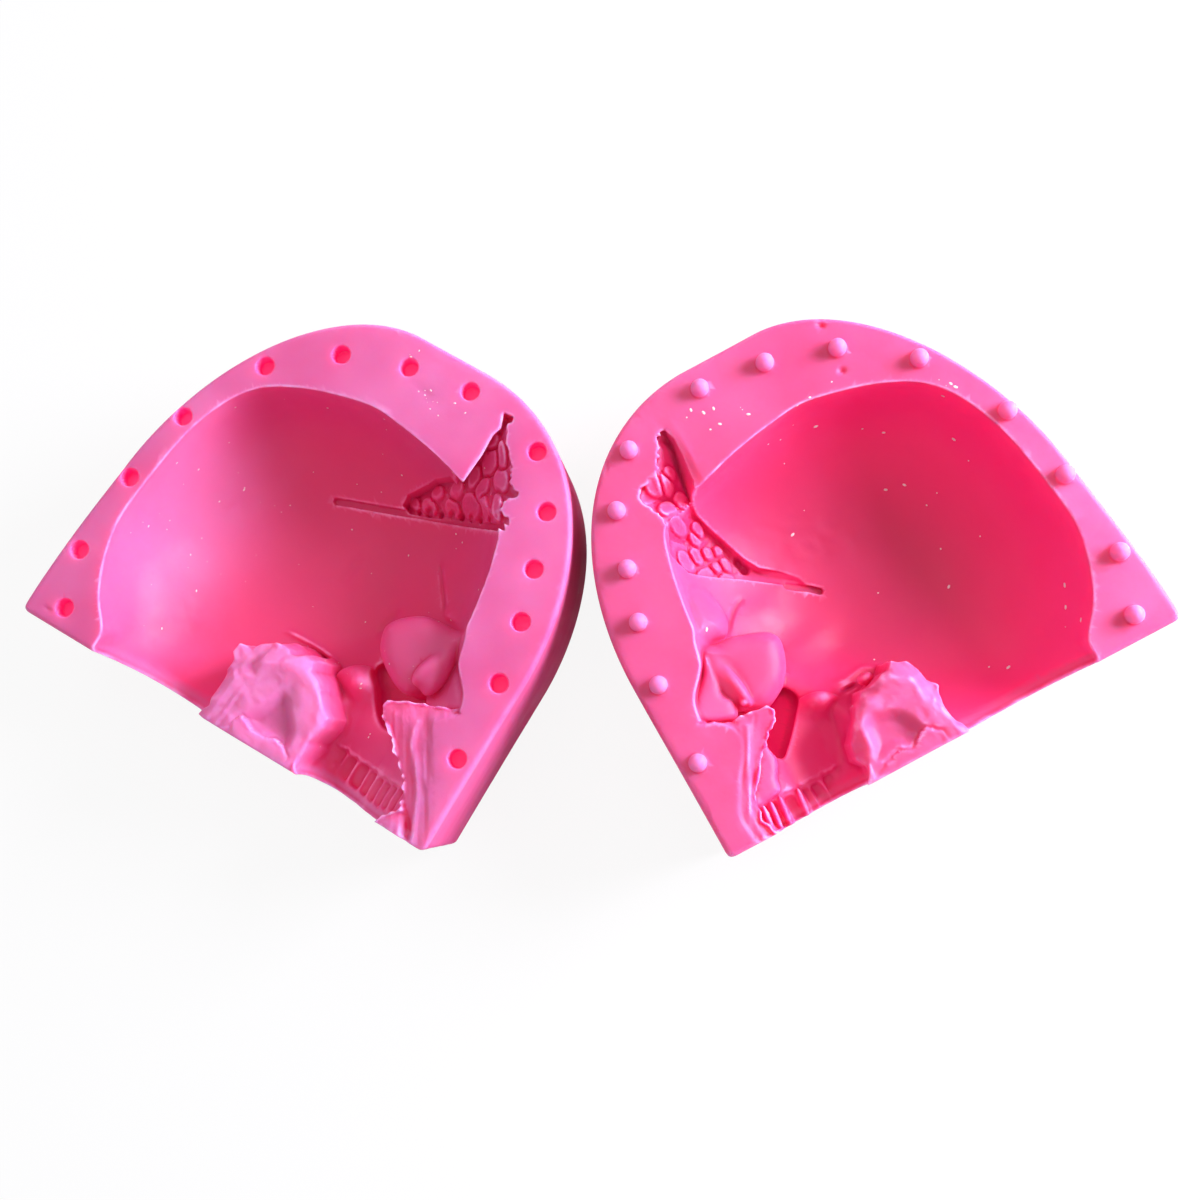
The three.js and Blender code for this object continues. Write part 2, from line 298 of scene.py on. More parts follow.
def cloud(plan, size, seed, turn=0.0, stretch=1.0):
    """Smooth noise over the plan, drawn out along a direction."""
    x, y = turned(plan, turn)
    x, y = x / (size * stretch) + 300, y / size + 300
    table = np.random.RandomState(seed).uniform(-1, 1, (64, 64)).astype(np.float32)
    i, j = np.floor(x).astype(int), np.floor(y).astype(int)
    fx, fy = x - i, y - j
    fx, fy = fx * fx * (3 - 2 * fx), fy * fy * (3 - 2 * fy)
    low = table[i % 64, j % 64] * (1 - fx) + table[(i + 1) % 64, j % 64] * fx
    high = table[i % 64, (j + 1) % 64] * (1 - fx) + table[(i + 1) % 64, (j + 1) % 64] * fx
    return low * (1 - fy) + high * fy


def folds(plan, size, seed, turn=0.0, stretch=1.0):
    """Crumpled sheet: flat facets that meet in straight creases."""
    x, y = turned(plan, turn)
    x = x / (size * stretch) + 300 + 0.45 * cloud(plan, 1.4 * size, seed + 50)
    y = y / size + 300 + 0.45 * cloud(plan, 1.4 * size, seed + 51)
    lean = (x + y) * 0.366
    x, y = x + lean, y + lean
    table = np.random.RandomState(seed).uniform(-1, 1, (64, 64)).astype(np.float32)
    i, j = np.floor(x).astype(int), np.floor(y).astype(int)
    p, q = x - i, y - j
    near, far = table[i % 64, j % 64], table[(i + 1) % 64, (j + 1) % 64]
    right, up = table[(i + 1) % 64, j % 64], table[i % 64, (j + 1) % 64]
    below = (1 - p) * near + (p - q) * right + q * far
    above = (1 - q) * near + (q - p) * up + p * far
    return np.where(p > q, below, above)


class Bowl:
    """Hollow below a rim, which shrinks towards a lowest point along a full, rounded profile."""

    def __init__(self, plan, rim, middle, lowest, depth, fullness):
        self.plan, self.depth, self.full = plan, depth, fullness
        self.middle, self.lowest = np.array(middle, float), np.array(lowest, float)
        out = closed_curve(rim) - self.middle
        angle = np.arctan2(out[:, 1], out[:, 0])
        order = np.argsort(angle)
        fine = np.linspace(-math.pi, math.pi, 4097)
        reach = np.interp(fine, angle[order], np.linalg.norm(out, axis=1)[order], period=2 * math.pi)
        self.rim_reach = reach.astype(np.float32)
        # Corners of the rim fade with depth
        width = np.exp(-np.linspace(-2.5, 2.5, 601) ** 2)
        around = np.concatenate([reach[-301:-1], reach, reach[1:301]])
        self.soft_reach = np.convolve(around, width / width.sum(), "valid").astype(np.float32)

    def level(self, w):
        down = max(-float(w) / self.depth, 0.0)
        c = self.middle + (self.lowest - self.middle) * min(down, 1.0)
        du, dv = self.plan.uu - np.float32(c[0]), self.plan.vv - np.float32(c[1])
        turn = ((np.arctan2(dv, du) + math.pi) * (4096 / (2 * math.pi))).astype(np.int32)
        fade = np.float32(ease(0.02, 0.45, down))
        reach = ((1 - fade) * self.rim_reach + fade * self.soft_reach)[turn]
        share = np.sqrt(du * du + dv * dv) / reach + 1e-4
        n = self.full
        g = (share ** n + np.float32(down ** n)) ** (1 / n)
        slope = np.sqrt((share / g / reach) ** 2 + (down / g / self.depth) ** 2)
        return (g - 1) / slope

    def floor(self):
        """How far down the hollow reaches at each place of the plan."""
        depth = np.zeros(self.plan.uu.shape, np.float32)
        for down in np.arange(1.0, self.depth, 1.0):
            inside = -self.level(-down)
            depth = np.where(inside > 0, down + np.minimum(inside, 1.0), depth)
        return depth


def lump(plan, centre, radii, turn=0.0):
    """Egg shape: returns its distance field, one level at a time."""
    x, y = turned(plan, turn, centre[0], centre[1])
    x, y = x / radii[0], y / radii[1]
    flat = x * x + y * y
    lean = (x / radii[0]) ** 2 + (y / radii[1]) ** 2

    def level(w):
        z = (w - centre[2]) / radii[2]
        g = np.sqrt(flat + z * z) + 1e-6
        slope = np.sqrt(lean + (z / radii[2]) ** 2) / g + 1e-6
        return (g - 1) / slope

    return level


def pit(plan, centre, radii):
    """Boxy egg, whose side leans over as a tooth does."""
    y = (plan.vv - centre[1]) / radii[1]
    x = (plan.uu - centre[0] - 0.5 * y * y) / radii[0]
    flat = x ** 4 + y ** 4

    def level(w):
        z = (w - centre[2]) / radii[2]
        return ((flat + z ** 4) ** 0.25 - 1) * min(radii)

    return level


def pillow(plan, outline, top, rounding, spread=0.0):
    """Rubber that rises inside an outline to a height, which may vary over the plan."""
    side = outline_distance(closed_curve(outline, 6), plan.uu, plan.vv)

    def level(w):
        return smooth_max(side - spread * max(-w, 0.0), w - top, rounding)

    return level


def bump(plan, u, v, ru, rv, turn=0.0):
    """Soft round spot, 1 in its middle."""
    x, y = turned(plan, turn, u, v)
    return np.exp(-(x / ru) ** 2 - (y / rv) ** 2)


def crease(plan, points, width):
    """Line that fades out at both ends, 1 along its middle."""
    path = open_curve(points, 24)
    d, run = path_distance(path, plan.uu, plan.vv)
    total = float(np.sum(np.linalg.norm(np.diff(path, axis=0), axis=1)))
    fade = ease(0, 0.25 * total, run) * (1 - ease(0.75 * total, total, run))
    return np.exp(-(d / width) ** 2) * fade


def openwork(plan, islands):
    """Distance from each place to the gap between its two nearest islands, and to its island."""
    near = np.full(plan.uu.shape, 1e9, np.float32)
    next_near = near.copy()
    owner = np.zeros(plan.uu.shape, np.int32)
    for i, (u, v, long, wide, turn) in enumerate(islands):
        x, y = turned(plan, turn, u, v)
        d = (np.hypot(x / long, y / wide) - 1) * math.sqrt(long * wide)
        closer = d < near
        next_near = np.where(closer, near, np.minimum(next_near, d))
        owner = np.where(closer, i, owner)
        near = np.where(closer, d, near)
    return (next_near - near) / 2, near, owner


# Depth of the palate's side under the parting face, from behind the molars to the front teeth
PALATE_PLACES = (22, 25, 30, 34, 40, 44, 47, 50, 53, 55.5, 58.5, 62)
PALATE_DEPTHS = (23, 22, 21, 19, 16, 14, 11, 9, 7, 5, 2, 0.5)

# What differs between the halves: shares of the tones, among them painted glow and painted light, then
# outlines and lines of each form as u, v places. Lumps are middle, reach each way, turn. Islands are middle,
# reach along and across, turn.
# Arches are middle, radius. Teeth are middle, half width, cut. A top is its height, then its tilts.
SOCKET_HALF = {
    "name": "socket_half",
    "colour": "socket",
    "seed": 11,
    "mirrored": False,
    "dust": 1.0,
    "speck": 1.0,
    # Shares of painted glow in the nose hole, the tiara slot and the thin wall, of painted light on the core,
    # and a painted highlight spot on the lit wall of the hollow
    "hole_glow": 0.35,
    "core_painted_light": 0.7,
    "slot_glow": 0.15,
    "thin_glow": (0.12, 0.25),
    "lit_wall_spot": (-56, 50, 19, 36, 0.6),
    "core": (
        (-10.7, -6), (-9.8, -1), (-6.9, 4.5), (-7.5, 13.2), (-8.9, 16), (-8.7, 19.5), (-10.4, 21.4),
        (-10.2, 24.3), (-6.3, 24.7), (-4.6, 27.4), (-0.6, 30.1), (4, 30.2), (5.7, 29.2), (9.8, 31.3),
        (12.7, 31), (14.6, 28.3), (17.8, 27), (22.4, 22.4), (25.9, 18.9), (26.3, 16), (24.9, 10.3),
        (25.5, 2.8), (26.6, -0.7), (26, -6),
    ),
    "core_top": (
        (-5.8, -6), (-5.5, 10.2), (-4.1, 15.3), (0.4, 19.3), (1, 23), (3.3, 25), (7.9, 27.3), (12.4, 27.9),
        (17.6, 25.6), (22.2, 21.6), (24.4, 16.4), (24.4, 10.7), (24.6, 4.4), (23, -6),
    ),
    "crater": (
        (10.4, 19.2), (13.3, 18.6), (17.3, 14.6), (20.7, 10), (20.3, 5), (13.8, 4.4), (8, 4), (3.5, 6.6),
        (6.4, 11.7),
    ),
    "flap": (
        (0.6, -6), (1.1, 1.8), (3.6, 6.9), (5.6, 6.2), (8.2, 5), (11.4, 4.6), (13.9, 5.2), (15.6, 6.1),
        (17.9, 5.7), (20, 4.8), (21.9, 3.2), (22.6, -6),
    ),
    "core_spread": 0.05,
    "fin_edge": (
        (59.4, 40.6), (52.7, 38), (46.4, 35.7), (40.2, 33), (38.8, 30.2), (40.2, 27.8), (44.2, 25.5),
        (47.2, 22.9), (48.3, 20.9), (51.2, 19.2), (53.2, 16.9), (56.1, 14.7), (57.6, 11.9), (58.4, 8.7),
        (60.1, 7.3), (57.6, 5.2), (55.4, 3), (53.9, -1.4), (53.6, -6),
    ),
    "fin_ridge": ((50.5, 31.8), (52.3, 25.9), (55.8, 21.1), (60.6, 15.1), (64.2, 8), (66.5, 2), (67, -6)),
    "fin_reach": (
        (61, 40.2), (57, 36), (55.8, 33), (61.8, 22.9), (66, 15.5), (69.6, 8.6), (71, 3.2), (71.4, -6),
    ),
    "fin_pocket": ((64, 3.4, 3.6, 1.5, -58), 2.6),
    "slot": ((25.6, 99.6), (26.4, 110), (26.2, 117), (27.2, 120), (25.6, 124.6)),
    "slot_deep": ((18.8, 100.6), (20.6, 106), (22.2, 112), (24.4, 118), (25.8, 123)),
    "slot_torn": (
        (28.7, 124.8), (28.5, 121.3), (30.2, 118.1), (33.1, 115), (35.6, 111.9), (36.9, 108.7),
        (39.4, 106.3), (41.9, 105.6), (41.2, 103.1), (39.4, 101.3), (39.4, 98.1), (43.1, 97.5), (44.4, 95.4),
    ),
    "slot_under": (
        (36, 94.9), (27.3, 92.9), (20.1, 91), (11.7, 88), (5.4, 86.2), (2.6, 87.4), (3, 91), (6.6, 94.8),
        (11, 99), (17, 101.6),
    ),
    "slot_slope": 1.0,
    "ridge": None,
    "islands": (
        (25.8, 116, 1.9, 1.2, 90), (27.5, 110.2, 3.3, 2.3, 100), (31, 113.1, 3.7, 1.2, -58),
        (23.9, 104.8, 2.7, 1.7, 95), (28.8, 102.3, 3.1, 1.8, 85), (34.4, 106.7, 3.1, 2.2, -50),
        (37.6, 99, 4.3, 1.4, -58), (26.3, 96.8, 3.3, 2.8, -20), (32.9, 97.5, 3.5, 1.2, -50),
        (19.1, 99.3, 2.4, 2, 80), (12.2, 96, 1.9, 1.8, 0), (19.7, 93.6, 2.8, 2, -30),
        (11, 91.2, 2.5, 1.8, -20), (4.7, 90.1, 1.3, 2.4, 70),
    ),
    "arches": (
        (8.2, 87.9, 0.7), (11.9, 89.4, 1.2), (16, 90.7, 0.8), (20.1, 92, 1.0), (23.5, 93, 0.9),
        (27.3, 93.9, 0.8), (30.8, 94.6, 0.7), (35.1, 95.6, 0.6),
    ),
    "band": (
        (-18.6, 77.9), (-13.3, 79.8), (-7.8, 81.6), (-2.3, 83.4), (3.4, 85.2), (8.5, 86.9), (14.8, 88.7),
        (20.7, 90.4), (26.8, 92), (33.1, 93.4), (39, 94.2), (44.8, 94.6),
    ),
    "eye": (
        (22.7, 50.8), (24.6, 54.3), (28.4, 57.6), (32.8, 59.9), (37.7, 60.5), (42.8, 60.5), (47.2, 61.4),
        (49.6, 58.1), (48.8, 53.5), (47.4, 47.6), (46.3, 43.5), (44, 39.3), (41, 36.2), (36.6, 36.4),
        (32.2, 38.4), (28.7, 40.5), (25.2, 43.7), (23.4, 47.2),
    ),
    "eye_top": (-10.5, 0.22),
    "pips": (((43.4, 45.6, -9.2), (2.7, 5.4, 3.9), -14), ((30.2, 5.2, -21.6), (1.3, 1.3, 1.6), 0)),
    "saddle": ((46.4, 47, -10.5), (3.4, 8, 4.5), 0),
    "nose": (
        (47.5, 58), (52.8, 50.5), (57.6, 45.6), (60.4, 42.6), (58, 39.6), (51.7, 37.2), (46, 36.6),
        (46, 42.5), (47.4, 49.8),
    ),
    "nose_top": (-1.2, 1.05),
    "temple": (
        (33.4, 65.4), (35.9, 62.2), (39.2, 61.6), (43.6, 61.8), (48, 63.4), (50, 68), (48, 77), (42, 79),
        (36, 74),
    ),
    "temple_top": (-13.0, 0.6, 1.1),
    "palate": (
        (17, 33.4), (22, 36.8), (26.7, 37), (30.6, 32.8), (32.9, 29.3), (35.6, 26.4), (39, 24.4), (44, 26),
        (48, 30), (58, 32), (66, 20), (66, -8), (24, -8), (24.6, 8), (24.8, 14), (23.6, 20), (20, 26.6),
        (15.6, 30),
    ),
    "hill": (24.6, 32.2, 6.2, 4.6, 7.0),
    "hole": (
        (26.2, 37.6), (28.2, 40), (32.2, 38.2), (36.6, 36.4), (41, 36.2), (46, 37), (48, 31), (44.5, 26),
        (39, 24.4), (35.6, 26), (33, 29.2), (30.4, 33.2),
    ),
    "crevice": ((6.5, 30.8, 5.6, 1.5, -3), 7.0),
    "knob": ((1.6, 30.2, -20), (2.6, 2.2, 5), 0),
    "teeth": (
        (29.9, 7.3, 2.1, 2.6), (34.4, 7.3, 2.1, 1.3), (39.4, 7.4, 2.3, 1.4), (43.6, 7.2, 1.6, 1.2),
        (47, 7.1, 1.5, 1.2), (50.1, 7.2, 1.35, 1.2), (52.8, 7.7, 1.2, 1.2), (55.5, 8.2, 1.2, 1.2),
    ),
    "gum": ((25.7, 11.6), (31.6, 12), (37.7, 11.8), (44.2, 12), (50.4, 12.4), (55.6, 13)),
    "tooth_height": 4.0,
    "fingers": (),
    "ledge": None,
}
PEG_HALF = {
    "name": "peg_half",
    "colour": "peg",
    "seed": 23,
    "mirrored": True,
    "dust": 0.35,
    "speck": 1.7,
    # Shares of painted glow in the nose hole, the tiara slot and the thin wall, of painted light on the core,
    # and a painted highlight spot on the lit wall of the hollow
    "hole_glow": 0.9,
    "core_painted_light": 0.1,
    "slot_glow": 0.65,
    "thin_glow": (0.05, 0.75),
    "lit_wall_spot": (34, 78, 22, 20, 0.0),
    "core": (
        (-7.6, -6), (-7, -1.7), (-4, 4.6), (-3.5, 10.4), (-5.5, 15.6), (-2.9, 18.5), (-2.3, 21.9),
        (-0.6, 25.9), (3.1, 28.2), (5.6, 26.2), (10.3, 25), (14.9, 24.4), (18.6, 21.4), (22, 16.7),
        (25.2, 12.4), (26, 8.1), (24.4, 5.2), (25.6, -2.3), (26, -6),
    ),
    "core_top": (
        (-4.2, -6), (-2.2, 5.3), (0.6, 13.9), (1.2, 20.1), (5.2, 23.5), (9.2, 23.8), (11.5, 21.3),
        (17.2, 19), (20, 15.6), (21.7, 9.3), (24, 2.5), (25.1, -6),
    ),
    "crater": (
        (8, 14.4), (13.2, 17.3), (16.6, 17.8), (20, 15), (20.8, 9.3), (21.4, 5), (14.3, 5.3), (10.9, 3.9),
        (5.2, 6.5),
    ),
    "flap": (
        (-1, -6), (1, 4), (5, 7), (8, 5.2), (11, 3.2), (14.4, 4.8), (18, 3.4), (22, 2), (25, -2), (25, -6),
    ),
    "core_spread": 0.03,
    "fin_edge": (
        (60.6, 38.6), (55.9, 35.5), (52.4, 34), (46.7, 34.1), (41, 33.3), (40.1, 31.6), (41, 28.7),
        (44.4, 27), (47.3, 23.6), (50.1, 20.7), (52.4, 17.9), (54.7, 15), (57, 11.6), (57.6, 7.6),
        (58.6, 5.4), (57.2, 3.2), (56.8, -1), (57, -6),
    ),
    "fin_ridge": ((49, 31), (51, 27), (54, 21), (57.6, 14), (60, 8), (60, 2), (59, -6)),
    "fin_reach": (
        (62, 38), (54.4, 34.4), (53, 30), (55, 24), (59.6, 17), (63, 11), (63.4, 5), (61.6, -2), (61, -6),
    ),
    "fin_pocket": ((56, 9.4, 1.6, 1.0, -50), 1.0),
    "slot": ((30, 97), (28.2, 102), (27.2, 110), (27, 116), (28.2, 119.8)),
    "slot_deep": ((30.8, 96), (31, 101), (30.4, 109), (29.8, 115), (30, 118.4)),
    "slot_torn": (
        (29.8, 119.8), (31.6, 118.2), (32, 115.5), (34.8, 112.1), (37, 107.9), (38.8, 108.6),
        (42, 107.6), (44.6, 104.9), (43.4, 101.5), (41.9, 97.5), (40.9, 93.9), (42.9, 90), (44, 86.4),
    ),
    "slot_under": (
        (41.6, 81), (37.4, 78.6), (32.2, 76), (27, 73.2), (22.5, 70.3), (17.3, 66.8), (12.2, 63.2),
        (8.6, 60.6), (10.2, 65.6), (15.4, 70.6), (20.2, 74.2), (23.2, 79), (26.6, 87), (29.4, 93),
    ),
    "slot_slope": 1.3,
    "ridge": (
        (8.6, 60.6), (10.2, 65.6), (15.4, 70.6), (20.2, 74.2), (23.2, 79), (26.6, 87), (29.4, 93), (30.8, 98),
    ),
    "islands": (
        (32.7, 108.6, 1.3, 1.1, 100), (35.4, 105.8, 1.5, 2.2, 0), (38.6, 106.6, 2.2, 2.2, 60),
        (33.3, 100.6, 1.6, 1.9, 0), (38.3, 99.4, 2.2, 2.2, -40), (37.6, 94.3, 1.7, 2.0, 0),
        (32.2, 92.4, 1.2, 1.7, 10), (34.4, 90, 1.0, 1.5, 0), (36.4, 85.4, 1.4, 2.1, 0),
        (32.8, 85, 1.2, 1.5, 0), (40.4, 84.6, 1.7, 2.8, 0), (29.4, 84.4, 0.9, 1.2, 0),
        (29.3, 79.8, 1.1, 2.1, 0), (32.3, 80, 1.3, 1.3, 0), (36.4, 79.6, 2.2, 1.3, 0),
        (31.2, 75.6, 1.7, 1.7, 45),
    ),
    "arches": ((24.4, 76.4, 1.5), (24.9, 79, 1.3)),
    "band": (
        (6.6, 58.8), (9.4, 61.2), (12.2, 63), (15, 65),
    ),
    "eye": (
        (27.3, 49.6), (28.7, 52.5), (32.2, 54.6), (36.3, 56), (40.5, 57.2), (45.3, 57.2), (49.5, 57.8),
        (51, 55), (49, 52), (47.6, 48), (47.2, 44), (47, 39.4), (47, 36.4), (44.1, 34.4), (39.9, 33.6),
        (35.8, 35.2), (32.2, 37.9), (28.6, 43.8),
    ),
    "eye_top": (-7.5, 0.15),
    "pips": (((45.8, 42.6, -7.2), (2.0, 6.8, 3.8), -8), ((46.2, 37.8, -6), (1.2, 1.2, 2), 0)),
    "saddle": ((48.4, 46, -10.8), (3.8, 10, 6), -4),
    "nose": (
        (49.6, 55.5), (53, 50.5), (57.6, 45.8), (60.5, 41.4), (59.6, 38.4), (55.3, 36), (51.2, 34.6),
        (49.4, 35.6), (48.8, 39.8), (50.4, 42.7), (48.9, 46.7), (48.9, 51.2),
    ),
    "nose_top": (-2.0, 0.3),
    "temple": (
        (38, 62.5), (40.6, 58.8), (45, 58.6), (50, 59.4), (51, 66), (48.6, 76), (44, 79), (40, 76), (38, 70),
    ),
    "temple_top": (-6.0, 0.8, 0.25),
    "palate": (
        (21, 28.6), (25, 31.2), (28.6, 31.7), (32.9, 31), (37.8, 24.6), (41.4, 20.6), (44, 19), (48, 24),
        (58, 30), (66, 20), (66, -8), (27.4, -8), (27.6, 7.9), (25.6, 14), (24, 18.6), (20.6, 23.8),
        (19.6, 26.6),
    ),
    "hill": (25.6, 28.6, 5.0, 3.4, 7.0),
    "hole": (
        (31.8, 32), (33.6, 35.6), (36, 35.4), (39.9, 33.8), (44.1, 34.6), (47, 33), (46.4, 26), (46, 21),
        (43.8, 18.6), (41.4, 20.6), (37.7, 24.6), (34.2, 28.6),
    ),
    "crevice": ((14.8, 27.4, 2.4, 0.8, 0), 3.0),
    "knob": ((10.4, 27.4, -19), (2.4, 1.9, 5), 0),
    "teeth": (
        (29.4, 3.4, 2.1, 0.8), (34.1, 3.4, 2.2, 1.0), (38.6, 3, 2.0, 1.2), (42, 3.2, 1.3, 1.2),
        (47.6, 3.6, 2.0, 1.4), (52.4, 4.4, 1.0, 1.3), (55.0, 4.4, 0.9, 1.3), (57.4, 4.4, 0.9, 1.0),
    ),
    "gum": ((26, 8.4), (31.7, 8.7), (37.9, 8.9), (43.3, 8.8), (48.8, 9.4), (54.1, 9.8)),
    "tooth_height": 4.4,
    "fingers": ((44.8, 4.2), (50.8, 4.6), (53.8, 4.8), (56.3, 4.8)),
    "ledge": (
        (44.4, 28.4), (45.4, 24.3), (45.2, 21.6), (46.2, 17.4), (48.4, 13.6), (49.4, 10.4), (57, 9.6),
        (63, 9.6), (63, 28),
    ),
}


def palate_depth(plan, half):
    u, v, ru, rv, rise = half["hill"]
    depth = np.interp(plan.uu, PALATE_PLACES, PALATE_DEPTHS).astype(np.float32)
    return depth - rise * bump(plan, u, v, ru, rv) + 2.0 * ease(20, 30, plan.vv) * ease(30, 40, plan.uu)


class Core:
    """Lump under the skull that was torn off at the parting face."""

    def __init__(self, plan, half):
        seed = half["seed"] + 3
        uu, vv = plan.uu, plan.vv
        self.spread = half["core_spread"]
        self.side = outline_distance(ragged(half["core"] + half["core"][:1], 2.4, 0.55, seed), uu, vv)
        plateau = outline_distance(closed_curve(half["core_top"], 4), uu, vv)
        crater = outline_distance(closed_curve(half["crater"], 4), uu, vv)
        flap = outline_distance(ragged(half["flap"] + half["flap"][:1], 1.5, 0.35, seed + 1), uu, vv)
        crumple = 0.75 * folds(plan, 6.5, seed) + 0.4 * folds(plan, 2.6, seed + 2)
        streaks = cloud(plan, 1.1, seed + 4, 84, 9.0)
        drop = 1.0 + 5.0 * ease(-0.4, 5.5, plateau) + 3.0 * ease(0.8, -4.0, crater)
        crumple = crumple * (0.35 + 0.65 * ease(-3.0, 1.0, crater))
        drop = drop + crumple * (0.55 + 0.6 * ease(-1, 2, plateau)) - 0.45 * bump(plan, 13, 26, 9, 3)
        drop = drop + 0.35 * streaks * ease(8, -4, uu)
        under = 0.75 + 0.34 * np.maximum(6.0 - vv, 0) + 0.4 * folds(plan, 5.0, seed + 6, 70, 2.0)
        drop = np.where(flap < 0, np.minimum(drop, under), drop + 0.8 * ease(1.2, 0.0, flap) * ease(0, 6, vv))
        self.drop = np.maximum(drop, 0.45)

    def level(self, w, mid, quick):
        side = self.side - self.spread * max(-w, 0.0) + 0.4 * mid + 0.12 * quick
        return smooth_max(side, w + self.drop, 0.7)


class Fin:
    """Slab that filled the nose from the face side, torn along its free edge."""

    def __init__(self, plan, half):
        seed = half["seed"] + 6
        uu, vv = plan.uu, plan.vv
        edge = ragged(half["fin_edge"], 1.5, 0.3, seed)
        self.side = outline_distance(edge + [(80, -6), (80, 40)], uu, vv)
        reach = open_curve(half["fin_reach"], 48)
        self.slope = outline_distance(edge + [tuple(p) for p in reach[::-1]], uu, vv)
        to_reach, _ = path_distance(reach, uu, vv)
        share = to_reach / (to_reach + np.maximum(-self.side, 0) + 0.3)
        to_ridge, _ = path_distance(open_curve(half["fin_ridge"], 48), uu, vv)
        streaks = cloud(plan, 0.8, seed + 1, -58, 14.0) + 0.7 * cloud(plan, 2.0, seed + 2, -60, 8.0)
        facets = folds(plan, 5.0, seed + 3, -58, 2.2)
        inside = ease(0.6, -0.6, self.slope)
        fall = 0.7 * ease(0.0, 0.25, share) + 2.4 * np.maximum(share - 0.3, 0)
        fall = fall - 0.7 * np.exp(-to_ridge ** 2)
        drop = 0.12 + inside * (fall + 0.55 * (facets + 0.4) + 0.17 * streaks)
        spot, depth = half["fin_pocket"]
        self.drop = np.maximum(drop + depth * bump(plan, *spot), 0.1)
        self.torn = 0.35 * cloud(plan, 1.3, seed + 4)

    def carve(self, w):
        return np.maximum(self.slope, -w - self.drop)

    def level(self, w, quick):
        thick = w + self.drop
        body = smooth_max(self.side + 0.14 * (thick + 2.0) ** 2 - 0.3 + self.torn, thick, 0.35)
        return smooth_max(body + 0.1 * quick, -w - 6.5, 1.2)


class Tiara:
    """Slot of the tiara with the openwork that its strands left in the rubber."""

    def __init__(self, plan, half, cranium):
        seed = half["seed"] + 7
        uu, vv = plan.uu, plan.vv
        torn = ragged(half["slot_torn"], 1.1, 0.45, seed)
        lips = ragged(half["slot_torn"], 0.9, 0.7, seed + 1)
        under = list(half["slot_under"])
        self.shallow = outline_distance(list(half["slot"]) + lips + under, uu, vv)
        self.wide = outline_distance(list(half["slot"]) + torn + under, uu, vv) - 0.5
        self.deep = outline_distance(list(half["slot_deep"]) + torn + under, uu, vv)
        far, _ = path_distance(half["slot_torn"], uu, vv)
        gap, near, owner = openwork(plan, half["islands"])
        rng = np.random.RandomState(seed + 2)
        count = len(half["islands"])
        tilt_u, tilt_v = rng.uniform(-0.12, 0.12, (2, count)).astype(np.float32)
        centre = np.array(half["islands"], np.float32)
        tilt = tilt_u[owner] * (uu - centre[owner, 0]) + tilt_v[owner] * (vv - centre[owner, 1])
        tilt = np.clip(tilt, -0.6, 0.6)
        rise = rng.uniform(-0.5, 0.5, count).astype(np.float32)[owner]
        groove = np.maximum(1 - ease(0.15, 0.6, gap), ease(0.3, 0.9, near))
        holes = sum(ease(1.3, 0.7, np.hypot(uu - u, (vv - v) / 1.25) / r) for u, v, r in half["arches"])
        top = 0.8 + half["slot_slope"] * far
        # Under the hollow the islands stand in a trench
        floor = cranium.floor()
        if not half["ridge"]:
            top = np.maximum(top, floor + 0.9)
        else:
            ridge_gap, _ = path_distance(open_curve(half["ridge"], 60), uu, vv)
            steep = 1.0 + 2.0 * ease(70, 77, vv)
            trench = floor + np.minimum(0.2 + steep * ridge_gap, 1.3 * ease(58, 74, vv) + 1.2)
            top = top + (trench - top) * ease(0.0, 6.0, floor)
            groove = groove * ease(67, 75, vv)
        self.drop = top + 2.4 * groove + rise + tilt + 3.0 * np.minimum(holes, 1)
        self.lean = 1 / math.hypot(1, half["slot_slope"])

    def level(self, w, mid):
        depth = max(-w, 0.0)
        at = min(depth / 15.0, 1.0)
        slot = (1 - at) * self.wide + at * self.deep
        lip = float(ease(2.4, 1.2, depth))
        slot = (1 - lip) * slot + lip * self.shallow
        sheet = (-w - self.drop + 0.15 * mid) * self.lean
        return smooth_max(sheet, slot, 0.3)


